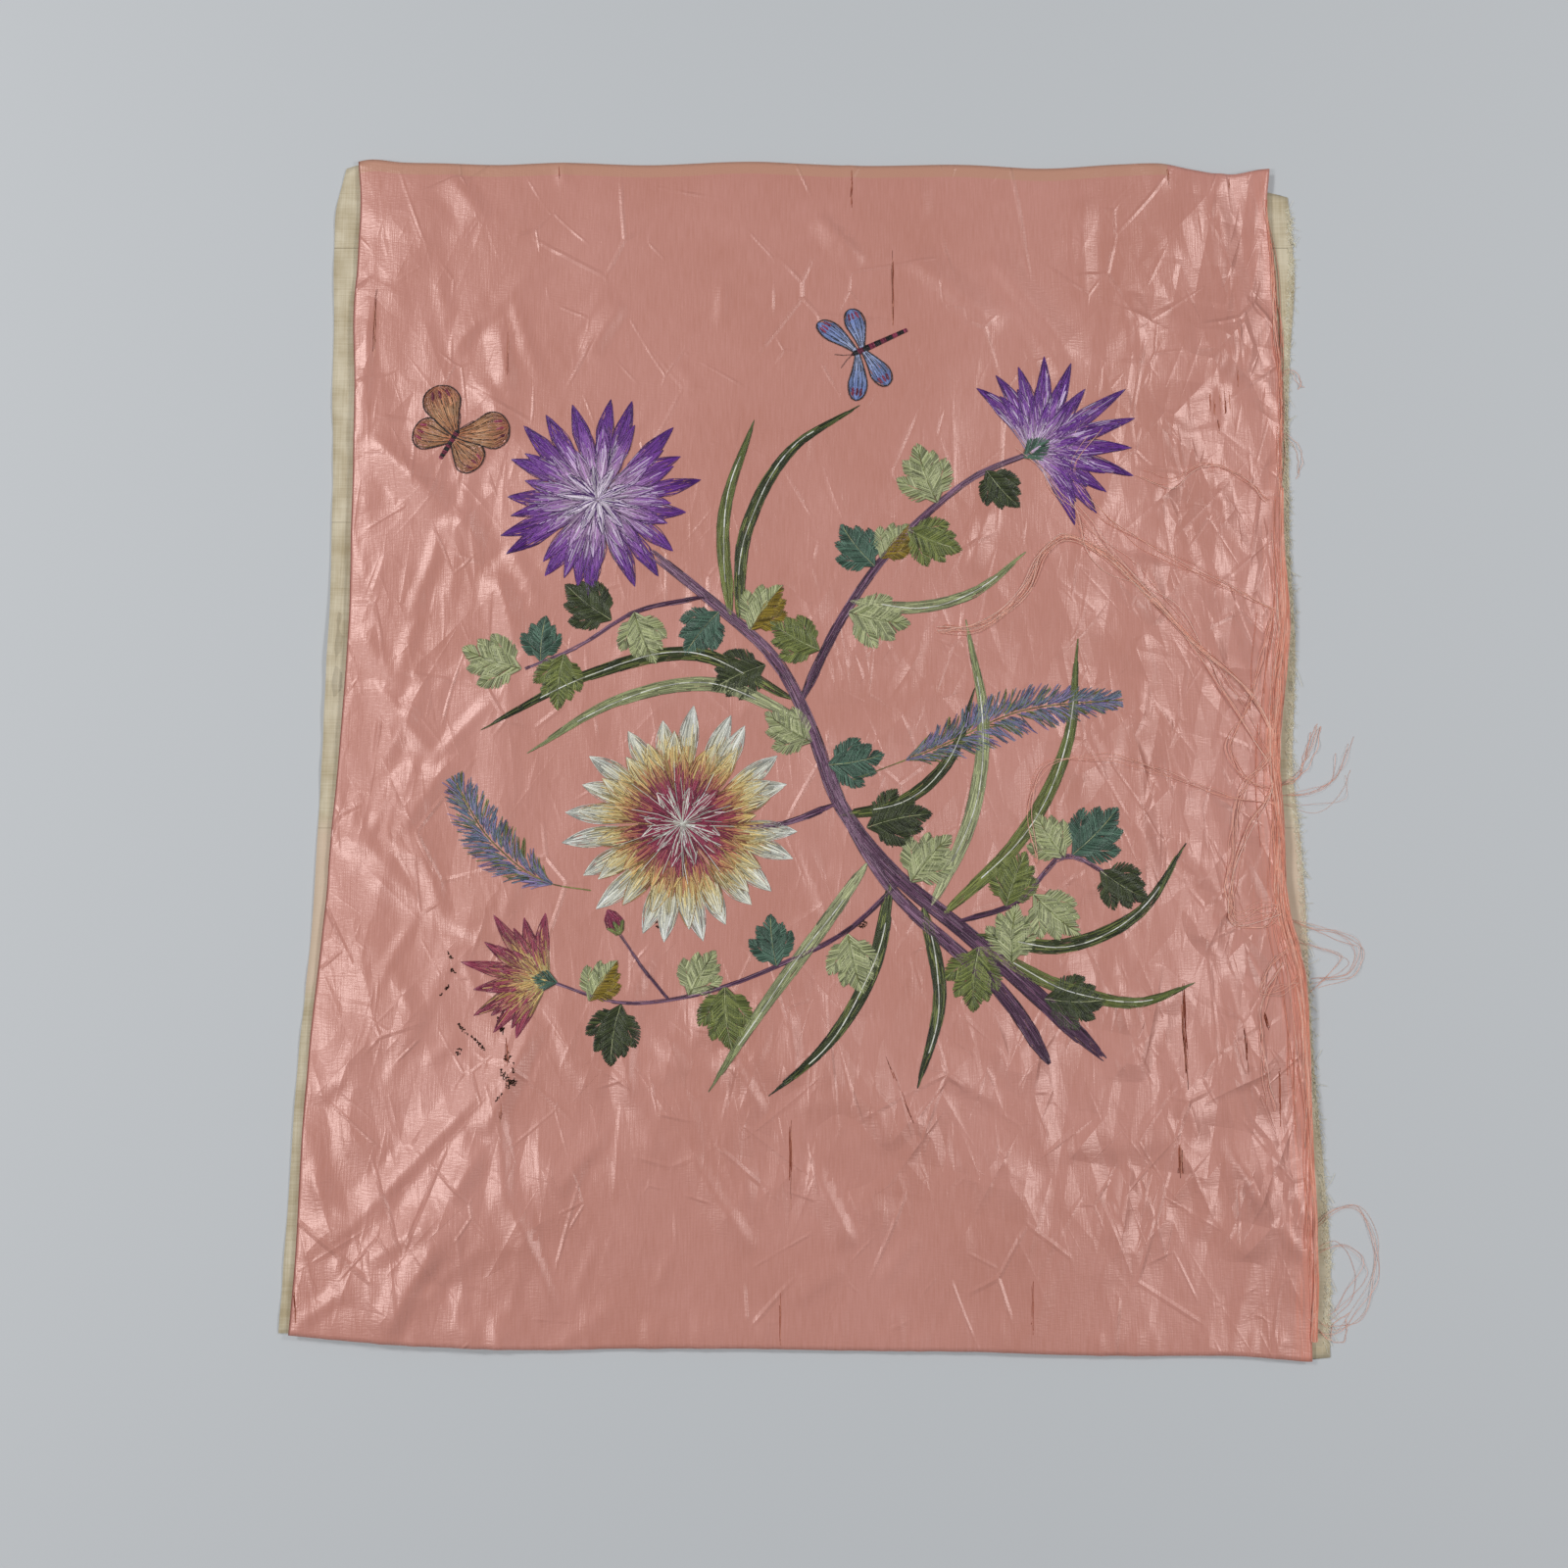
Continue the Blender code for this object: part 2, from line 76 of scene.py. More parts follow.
def fill_in(node: Node, *inputs: object, **settings: object) -> None:
    """Give a node its settings and links.

    A value is a constant, or a socket to link from. A node stands for its first output in use.

    Args:
        node: the node.
        inputs: values of its inputs in use, in their order.
        settings: its properties, and values of its inputs by name, with low lines for spaces.
    """
    for name in [name for name in settings if hasattr(node, name)]:
        setattr(node, name, settings.pop(name))
    sockets = [socket for socket in node.inputs if socket.enabled]
    named = {socket.name.replace(" ", "_"): socket for socket in sockets}
    for socket, value in [*zip(sockets, inputs), *((named[name], settings[name]) for name in settings)]:
        if isinstance(value, Node):
            value = next(output for output in value.outputs if output.enabled)
        if isinstance(value, NodeSocket):
            node.id_data.links.new(value, socket)
        else:
            socket.default_value = value


def add_node(tree: NodeTree, kind: str, *inputs: object, **settings: object) -> Node:
    """Add a node to a tree, with its settings and links.

    Args:
        tree: the tree that the node goes into.
        kind: the node's type, without the words that all nodes of such a tree start with.
        inputs: values of its inputs, as for fill_in.
        settings: its other settings, as for fill_in.
    Returns:
        The new node.
    """
    start = "" if kind.startswith("NodeGroup") else tree.bl_idname.removesuffix("Tree")
    made = tree.nodes.new(start + kind)
    fill_in(made, *inputs, **settings)
    return made


def add_sockets(tree: NodeTree, side: str, kinds: dict[str, str]) -> dict[str, str]:
    """Add sockets to a group's own inputs or outputs.

    Args:
        tree: the group's tree.
        side: INPUT or OUTPUT.
        kinds: the sockets' kinds by name.
    Returns:
        The sockets' identifiers by name.
    """
    ids = {}
    for name, kind in kinds.items():
        socket = tree.interface.new_socket(name=name, in_out=side, socket_type="NodeSocket" + kind)
        ids[name] = socket.identifier
    return ids


def thread_lines(add: Adder, place: NodeSocket, scale: tuple, detail: float) -> Node:
    """Draw out a noise into the fine lines of a weave.

    Args:
        add: adds a node to the material.
        place: where the shaded point is, in metres.
        scale: lines to a metre, and how often they are broken, each way.
        detail: the noise's detail.
    Returns:
        The noise's node.
    """
    spread = add("Mapping", place, Scale=scale)
    return add("TexNoise", spread, Scale=1.0, Detail=detail)


def new_material(name: str) -> tuple[Material, Adder, Node]:
    """Start a material with one Principled shader.

    Args:
        name: the finish's name.
    Returns:
        The material, a function that adds nodes to it, and its shader node.
    """
    material = bpy.data.materials.new(name)
    material.use_nodes = True
    tree = material.node_tree
    return material, partial(add_node, tree), tree.nodes["Principled BSDF"]


def mesh_object(name: str, verts: Array, faces: Sequence, material: Material, edges: Sequence = ()) -> Object:
    """Make a piece from points in millimetres.

    Args:
        name: the piece's name.
        verts: its points, one to a row.
        faces: its faces, as tuples of point numbers.
        material: its finish.
        edges: its edges, where it has no faces.
    Returns:
        The piece, linked to the scene.
    """
    mesh = bpy.data.meshes.new(name)
    mesh.from_pydata((verts * MM).tolist(), edges, faces)
    if len(mesh.polygons):
        mesh.shade_smooth()
    mesh.materials.append(material)
    piece = bpy.data.objects.new(name, mesh)
    bpy.context.scene.collection.objects.link(piece)
    return piece


# Shape of the panel as it lies


class SideRow(NamedTuple):
    """Where the side edges stand at one height of the panel."""

    y: float
    face_left: float
    face_right: float
    lining_left: float
    lining_right: float


class EndRow(NamedTuple):
    """Where the top and bottom edges of the face stand at one place across."""

    x: float
    top: float
    bottom: float


SIDE_ROWS = tuple(SideRow(*row) for row in (
    (-300, -256, 246.5, -262, 253), (-270, -254.5, 248.5, -261, 255), (-221, -253.5, 249.5, -259.5, 254),
    (-168, -252, 249.5, -258, 251.5), (-130, -249.5, 247.5, -255.5, 251), (-92, -246.5, 240.5, -253.5, 251),
    (-55, -245, 241.5, -253, 250), (-15, -242.5, 240.5, -252, 247.5), (22, -241, 243, -251.5, 250),
    (57, -240, 248, -251, 252), (100, -240.5, 249.5, -252, 251), (142, -241, 251, -253, 252.5),
    (184, -242, 252.5, -255, 254), (217, -244, 252, -255.5, 256.5), (257, -243, 251.5, -257, 260.5),
    (285, -243, 249.5, -256.5, 260), (306, -245, 252, -252, 259),
))

END_ROWS = tuple(EndRow(*row) for row in (
    (-256, 305.5, -300), (-240, 310.5, -301.5), (-222, 309, -303), (-200, 308.5, -304.5),
    (-167, 307.5, -306), (-139, 309, -307), (-88, 308, -306.5), (-30, 309.5, -306.5), (22, 307, -307.5),
    (84, 308, -308), (128, 305.5, -309.5), (169, 307.5, -310), (192, 307.5, -310), (206, 304.5, -310),
    (227, 301.5, -311.5), (245, 305, -312.5), (252, 305.5, -311.5),
))


def curve_through(stations: Array, values: Array, at: Array) -> Array:
    """Read a smooth curve through a table's points.

    Args:
        stations: where the table's points stand, in rising order.
        values: their values.
        at: the stations to read.
    Returns:
        The value at each station asked for.
    """
    at = np.clip(np.asarray(at, dtype=float), stations[0], stations[-1])
    slopes = np.gradient(values, stations)
    low = np.clip(np.searchsorted(stations, at) - 1, 0, len(stations) - 2)
    span = stations[low + 1] - stations[low]
    t = (at - stations[low]) / span
    rise = values[low + 1] - values[low]
    start_bend = slopes[low] * span - rise
    end_bend = rise - slopes[low + 1] * span
    return values[low] + rise * t + t * (1 - t) * (start_bend * (1 - t) + end_bend * t)


def column(rows: Sequence[NamedTuple], name: str) -> Array:
    """One named column of a table, as an array."""
    return np.array([getattr(row, name) for row in rows], dtype=float)


def distances(points: Array) -> Array:
    """How far along a route each of its points is."""
    return np.concatenate(([0.0], np.cumsum(np.hypot(*np.diff(points, axis=0).T))))


def read_columns(table: Array, stations: Array, at: Array) -> Array:
    """Read every column of a table, whose rows stand at stations, straight between its rows."""
    return np.stack([np.interp(at, stations, values) for values in table.T], axis=-1)


def smooth_route(points: Sequence[tuple[float, ...]], step: float) -> Array:
    """Run a smooth curve through given points.

    Args:
        points: the route's own points.
        step: distance between the points of the result.
    Returns:
        Points along the curve, evenly spaced.
    """
    knots = np.array(points, dtype=float)
    along = distances(knots[:, :2])
    count = max(3, int(round(along[-1] / step)) + 1)
    at = np.linspace(0, along[-1], count)
    return np.stack([curve_through(along, knots[:, i], at) for i in range(knots.shape[1])], axis=1)


@dataclass(frozen=True)
class Outline:
    """The panel's edges as it lies."""

    fray_width: float = 5.6
    lining_setback: float = 4.0
    lining_corner_drop: float = 15.0

    def side(self, name: str, y: Array) -> Array:
        """Place across the panel of a named side edge, at height y."""
        return curve_through(column(SIDE_ROWS, "y"), column(SIDE_ROWS, name), y)

    def end(self, name: str, x: Array) -> Array:
        """Place up the panel of the face's top or bottom edge, at x."""
        return curve_through(column(END_ROWS, "x"), column(END_ROWS, name), x)

    def across(self, sheet: str, u: Array, v: Array, trim: float = 0.0) -> Array:
        """Find how far across the panel a sheet's points are.

        Args:
            sheet: face or lining.
            u: share of the way from its left edge to its right one.
            v: share of the way from its bottom edge to its top one.
            trim: how far it ends short of its right edge.
        Returns:
            Places across the panel.
        """
        first, last = END_ROWS[0], END_ROWS[-1]
        left = self.side(sheet + "_left", first.bottom + v * (first.top - first.bottom))
        right = self.side(sheet + "_right", last.bottom + v * (last.top - last.bottom))
        return left + u * (right - trim - left)

    def face_point(self, u: Array, v: Array) -> tuple[Array, Array]:
        """Turn shares of the face's width and height into places on it.

        Args:
            u: share of the way from the left edge to the frayed one.
            v: share of the way from the bottom edge to the top one.
        Returns:
            Places across and up the panel.
        """
        x = self.across("face", u, v, 0.6 * self.fray_width)
        foot, head = self.end("bottom", x[:, :1]), self.end("top", x[:, -1:])
        return x, foot + v * (head - foot)

    def lining_point(self, u: Array, v: Array) -> tuple[Array, Array]:
        """Turn shares of the lining's width and height into places on it.

        Args:
            u: share of the way from the left edge to the right one.
            v: share of the way from the bottom edge to the top one.
        Returns:
            Places across and up the panel.
        """
        x = self.across("lining", u, v)
        hidden = self.lining_setback * np.sin(math.pi * u)
        foot = self.end("bottom", x[:, :1]) + hidden[:, :1]
        head = self.end("top", x[:, -1:]) - hidden[:, -1:] - self.lining_corner_drop * u[:, -1:] ** 12
        return x, foot + v * (head - foot)


# Crumple of the satin


class Crease(NamedTuple):
    """A crease of the satin: a crest between two points, steep on one side and soft on the other.

    steep is how far its foot reaches on the crest's left, looking from the first point to the second.
    """

    x0: float
    y0: float
    x1: float
    y1: float
    steep: float
    soft: float
    rise: float


MAIN_CREASES = tuple(Crease(*row) for row in (
    (-198, 305, -176, 276, 8, 12, 1.8), (-236, 235, -236, 150, 5, 8, 1.4),
    (-192, 199, -167, 226, 12, 5, 1.6), (-165, 218, -160, 175, 6, 10, 1.8),
    (-232, 155, -190, 115, 8, 14, 3), (-188, 115, -165, 89, 9, 15, 3.2), (-165, 82, -153, 38, 9, 12, 2.8),
    (-232, 52, -213, 21, 8, 10, 1.8), (-227, 27, -193, -14, 5, 12, 1.8), (-186, -15, -210, -56, 8, 12, 2.4),
    (-202, -50, -183, -99, 5, 14, 2.4), (-243, -40, -193, -94, 7, 14, 2),
    (-138, -145, -161, -206, 8, 13, 3.2), (-161, -208, -179, -237, 8, 14, 3),
    (-184, -242, -219, -264, 8, 14, 2.6), (-145, -165, -241, -262, 3, 12, 2.2),
    (-182, -250, -209, -305, 7, 12, 2.6), (-154, -185, -150, -245, 3, 10, 2),
    (-150, -235, -125, -292, 3, 11, 2), (-126, -234, -100, -201, 10, 4, 1.6),
    (-93, -143, -90, -192, 6, 9, 2.2), (-61, -129, -44, -163, 6, 10, 2.8), (-44, -163, -24, -196, 6, 10, 3),
    (-63, -211, -29, -262, 6, 10, 2.6), (-12, -143, -7, -182, 6, 9, 2.8), (0, -220, 19, -258, 6, 10, 3),
    (-10, -285, 15, -267, 10, 4, 0.9), (50, -163, 93, -192, 12, 5, 2.4), (109, -153, 112, -211, 10, 6, 2.2),
    (112, -215, 181, -206, 14, 8, 1.2), (176, -154, 192, -210, 14, 7, 3),
    (205, -206, 223, -248, 14, 4, 2.8), (225, -201, 243, -252, 12, 3, 2.4),
    (207, -125, 221, -185, 10, 4, 2), (186, -55, 219, -109, 12, 6, 2.6), (203, 38, 229, 11, 10, 4, 1.7),
    (196, 79, 150, 94, 10, 5, 1.3), (190, 137, 181, 110, 9, 4, 1.2), (211, 137, 219, 100, 9, 5, 1.7),
    (238, 229, 215, 185, 10, 4, 1.6), (215, 185, 217, 158, 9, 5, 1.6), (216, 290, 229, 207, 11, 6, 2.2),
    (170, 235, 175, 191, 9, 5, 2), (147, 290, 146, 229, 9, 6, 2.1), (96, 257, 142, 191, 12, 7, 2.6),
    (49, 257, 101, 213, 13, 8, 3.2), (2, 279, 28, 251, 6, 10, 2.6), (94, 116, 80, 79, 9, 5, 2.2),
    (-119, 199, -99, 232, 10, 6, 2.2), (-134, 309, -133, 295, 5, 5, 0.9), (22, 310, 21, 292, 5, 5, 0.8),
    (190, 308, 188, 292, 5, 5, 1), (222, 306, 221, 290, 5, 5, 1),
))


class FacetNet(NamedTuple):
    """Flat facets between scattered nodes of uneven height.

    A high rarity leaves most of the cloth flat, with a few sharp crests. even is the share of the
    height that stays where the satin is smooth.
    """

    across: float
    along: float
    height: float
    rarity: float
    even: float


@dataclass
class Crumple:
    """Height of the satin over its lowest lie, in millimetres."""

    wave_height: float = 0.8
    wave_x: float = 230.0
    wave_y: float = 290.0
    wave_phase: float = 0.7
    nets: tuple = (FacetNet(58.0, 74.0, 2.6, 1.0, 0.6), FacetNet(26.0, 58.0, 2.9, 1.6, 0.2),
                   FacetNet(12.0, 40.0, 0.9, 3.0, 0.06))
    node_stray: float = 0.48
    narrow_least: float = 5.0
    crossing_share: float = 0.3
    small_creases: int = 100
    hem_tucks: int = 34
    hem_tuck_width: float = 4.5
    creases: list = field(default_factory=list)

    def __post_init__(self) -> None:
        """Lay out the small creases, and the tucks along the bottom edge."""
        rng = np.random.default_rng(SEED)
        self.creases = [*MAIN_CREASES, *(self.small_crease(rng) for _ in range(self.small_creases))]
        for x in rng.uniform(-240, 235, self.hem_tucks):
            top = rng.uniform(-299, -284)
            self.creases.append(Crease(x, -313, x + rng.normal(0, 2.5), top, self.hem_tuck_width,
                                       self.hem_tuck_width, rng.uniform(0.4, 1.1)))

    def strength(self, x: Array, y: Array) -> Array:
        """Find how crumpled the satin is: most in its middle and along both sides, then low down.

        Args:
            x: places across.
            y: places up.
        Returns:
            Shares from 0 to 1.
        """
        middle = np.exp(-((x / 165) ** 2 + ((y - 5) / 175) ** 2))
        left = np.exp(-((x + 215) / 60) ** 2) * (0.68 + 0.32 * np.tanh((190 - y) / 50))
        right = np.exp(-((x - 220) / 60) ** 2) * (0.7 - 0.3 * np.tanh((y - 195) / 40))
        right = right * (0.65 + 0.35 * np.tanh((y + 255) / 25))
        low = 0.5 * np.exp(-((y + 190) / 60) ** 2)
        return np.minimum(1.0, 0.12 + 0.45 * middle + left + right + low)

    def small_crease(self, rng: Random) -> Crease:
        """Draw one small crease, more of them where the satin is more crumpled.

        Args:
            rng: the random numbers.
        Returns:
            The crease.
        """
        while True:
            x, y = rng.uniform(-245, 240), rng.uniform(-300, 300)
            worn = float(self.strength(np.array(x), np.array(y)))
            if rng.random() < worn:
                break
        lean = rng.choice((-1, 1)) * abs(rng.normal(20, 20))
        turn = math.radians(90 + lean)
        half = rng.uniform(10, 32)
        wide = rng.uniform(3.2, 6.5)
        outward = 0.5 - 0.45 * math.tanh(x / 60.0)
        sides = (wide, wide * 1.1) if rng.random() < outward else (wide * 1.1, wide)
        dx, dy = half * math.cos(turn), half * math.sin(turn)
        slope = rng.uniform(0.16, 0.34) * (1.35 - 0.5 * min(1.0, abs(x) / 200.0))
        return Crease(x - dx, y - dy, x + dx, y + dy, *sides, wide * slope * (0.45 + 0.55 * worn))

    def facets(self, rng: Random, net: FacetNet, x: Array, y: Array) -> Array:
        """Find the height of a net of facets at points of the panel.

        Args:
            rng: the random numbers.
            net: the spacing and reach of its nodes.
            x: places across.
            y: places up.
        Returns:
            The heights.
        """
        gx, gy = np.meshgrid(np.arange(-320, 330, net.across), np.arange(-370, 375, net.along))
        px = (gx + rng.uniform(-self.node_stray, self.node_stray, gx.shape) * net.across).ravel()
        py = (gy + rng.uniform(-self.node_stray, self.node_stray, gy.shape) * net.along).ravel()
        heights = net.height * rng.uniform(0, 1, px.size) ** net.rarity
        heights *= net.even + (1 - net.even) * self.strength(px, py)
        nodes = [Vector(pair) for pair in zip(px.tolist(), py.tolist())]
        found = geometry.delaunay_2d_cdt(nodes, [], [], 0, 1e-6)
        place = np.array([list(p) for p in found[0]])
        heights = heights[[source[0] for source in found[3]]]
        out = np.zeros_like(x)
        for corners in found[2]:
            a, b, c = place[list(corners)]
            low, high = np.min((a, b, c), axis=0), np.max((a, b, c), axis=0)
            near = np.nonzero((x >= low[0]) & (x <= high[0]) & (y >= low[1]) & (y <= high[1]))
            if not near[0].size:
                continue
            qx, qy = x[near], y[near]
            det = (b[1] - c[1]) * (a[0] - c[0]) + (c[0] - b[0]) * (a[1] - c[1])
            wa = ((b[1] - c[1]) * (qx - c[0]) + (c[0] - b[0]) * (qy - c[1])) / det
            wb = ((c[1] - a[1]) * (qx - c[0]) + (a[0] - c[0]) * (qy - c[1])) / det
            wc = 1 - wa - wb
            inside = (wa >= -1e-6) & (wb >= -1e-6) & (wc >= -1e-6)
            ha, hb, hc = heights[list(corners)]
            out[near[0][inside], near[1][inside]] = (wa * ha + wb * hb + wc * hc)[inside]
        return out

    def warp(self, x: Array, y: Array) -> tuple[Array, Array]:
        """Bend the creases' lines a little, so that none is ruled.

        Args:
            x: places across.
            y: places up.
        Returns:
            The bent places.
        """
        dx = 0.9 * np.sin(y / 17.0 + 1.3 * np.sin(x / 31.0)) + 0.3 * np.sin(y / 6.3 + x / 9.0)
        dy = 0.9 * np.sin(x / 19.0 + 1.1 * np.sin(y / 27.0)) + 0.3 * np.sin(x / 7.1 - y / 11.0)
        return x + dx, y + dy

    def sway(self, x: Array, y: Array) -> Array:
        """Lean the nets' long facets to one side and the other from place to place."""
        return x + 17.0 * np.sin(y / 62.0 + 1.4 * np.sin(x / 55.0)) + 0.16 * y

    def height(self, x: Array, y: Array) -> Array:
        """Find the height of the satin at a grid of points of the panel.

        Args:
            x: places across.
            y: places up.
        Returns:
            Heights above the satin's lowest lie.
        """
        rng = np.random.default_rng(SEED + 1)
        wx, wy = self.warp(x, y)
        total = self.wave_height * (0.5 + 0.25 * (
            np.sin(2 * math.pi * x / self.wave_x + self.wave_phase)
            + np.sin(2 * math.pi * y / self.wave_y - self.wave_phase)))
        for net in self.nets:
            total = total + self.facets(rng, net, self.sway(wx, wy), wy)
        ridges = np.zeros_like(total)
        for crease in self.creases:
            self.raise_crease(ridges, crease, wx, wy)
        return total + ridges

    def raise_crease(self, ridges: Array, crease: Crease, x: Array, y: Array) -> None:
        """Raise one crease over what is there.

        Args:
            ridges: the heights so far, which are changed.
            crease: the crease.
            x: places across.
            y: places up.
        """
        left, right = max(crease.steep, self.narrow_least), max(crease.soft, self.narrow_least)
        reach = max(left, right) + 2
        near = np.nonzero((x > min(crease.x0, crease.x1) - reach) & (x < max(crease.x0, crease.x1) + reach)
                          & (y > min(crease.y0, crease.y1) - reach) & (y < max(crease.y0, crease.y1) + reach))
        if not near[0].size:
            return
        run = np.array((crease.x1 - crease.x0, crease.y1 - crease.y0), dtype=float)
        length = float(np.hypot(*run))
        run = run / length
        px, py = x[near] - crease.x0, y[near] - crease.y0
        along = (px * run[0] + py * run[1]) / length
        aside = -px * run[1] + py * run[0]
        taper = np.clip(1 - np.abs(2 * along - 1) ** 3, 0, 1)
        share = np.clip(np.where(aside > 0, 1 - aside / left, 1 + aside / right), 0, 1)
        new = crease.rise * taper * share
        old = ridges[near]
        ridges[near] = np.maximum(old, new) + self.crossing_share * np.minimum(old, new)


# Finishes


class Mark(NamedTuple):
    """A worn place on the satin: a slit or a soot mark, in the shape of a leaning spindle.

    lean is how far its top leans to the right, in millimetres for each millimetre of height.
    """

    x: float
    y: float
    half_width: float
    half_height: float
    lean: float
    depth: float


# Slits: their dark fibres are broken warp and, in part, painted shade of the openings.
SLITS = tuple(Mark(*row) for row in (
    (44, 237, 0.8, 25, 0.01, 0.7), (-232, 217, 0.9, 27, 0, 0.7), (-161, 204, 0.7, 25, -0.02, 0.4),
    (22, 291, 0.7, 15, 0.01, 0.5), (-11, -217, 1, 26, 0, 0.6), (186, -154, 1.5, 33, -0.01, 1),
    (182, -217, 1.7, 12, 0.03, 0.85), (211.1, 173.1, 0.35, 7, 0, 0.55), (213.1, 168.3, 0.4, 10.8, 0, 0.6),
    (215.8, 173.4, 0.3, 7.9, 0, 0.45), (218.4, 171.6, 0.5, 9.8, 0, 0.75), (221, 174.2, 0.3, 5.9, 0, 0.5),
    (214.7, 159.9, 0.5, 5.6, 0, 0.6), (226.1, 185.9, 0.3, 6.8, 0, 0.4), (107, -286, 0.7, 20, 0.02, 0.45),
    (-16, -292, 0.7, 14, 0, 0.4), (-152, -164, 1.3, 8, -0.11, 0.5), (-154, -193, 1, 8, -0.02, 0.45),
    (216, -163, 0.8, 14, -0.08, 0.7), (227, -149, 1.2, 5, -0.22, 0.9), (232, -186, 0.7, 19, 0.06, 0.45),
    (-136, 303, 0.6, 4, -0.03, 0.6), (193, 300, 0.7, 6, -0.06, 0.7), (226, 296, 0.5, 4, 0.03, 0.6),
    (-253, -287, 0.6, 11, -0.1, 0.5),
))

SOOT_MARKS = tuple(Mark(*row) for row in (
    (-182.1, -116.6, 0.6, 2.1, -0.5, 0.75), (-180.6, -124.2, 0.7, 2.1, -1, 0.7),
    (-184.5, -134.1, 1, 2.6, 0.8, 0.85), (-174.6, -153, 1, 2.9, -0.9, 0.85),
    (-166.8, -159.8, 1.1, 3.4, -1, 0.9), (-176.5, -164.1, 1.8, 1.8, 0.2, 0.4),
    (-155.8, -151.1, 1.8, 3.9, -0.35, 0.9), (-151.3, -166.5, 1.5, 2.6, 0.1, 0.6),
    (-148, -171.3, 0.7, 2.6, 0.1, 0.8), (-151.9, -175.9, 2, 3.6, -0.7, 1),
    (-149.2, -179.4, 2.4, 2.3, 0.7, 1), (-154.7, -185.6, 0.7, 2.1, 0.9, 0.85),
    (25.3, -100.9, 2.4, 1.9, 0.3, 0.9), (-76.2, -98.4, 3.2, 4.2, 0.4, 0.5),
    (42.8, -181.8, 0.8, 14.6, -0.41, 0.14),
))


class Pucker(NamedTuple):
    """A set of fine creases: their pitch, their slopes at the crest and down the back, and their turn."""

    across: float
    along: float
    crest_slope: float
    back_slope: float
    turn: float = 0.0


class Facet(NamedTuple):
    """A set of crisp flat facets: their size across and along, their slope and their turn."""

    across: float
    along: float
    slope: float
    turn: float


class LineNet(NamedTuple):
    """A net of thin straight crease lines, which shows in scattered patches.

    mesh is the size of its cells, and share is how much of it shows.
    """

    mesh: float
    half_width: float
    slope: float
    turn: float
    share: float


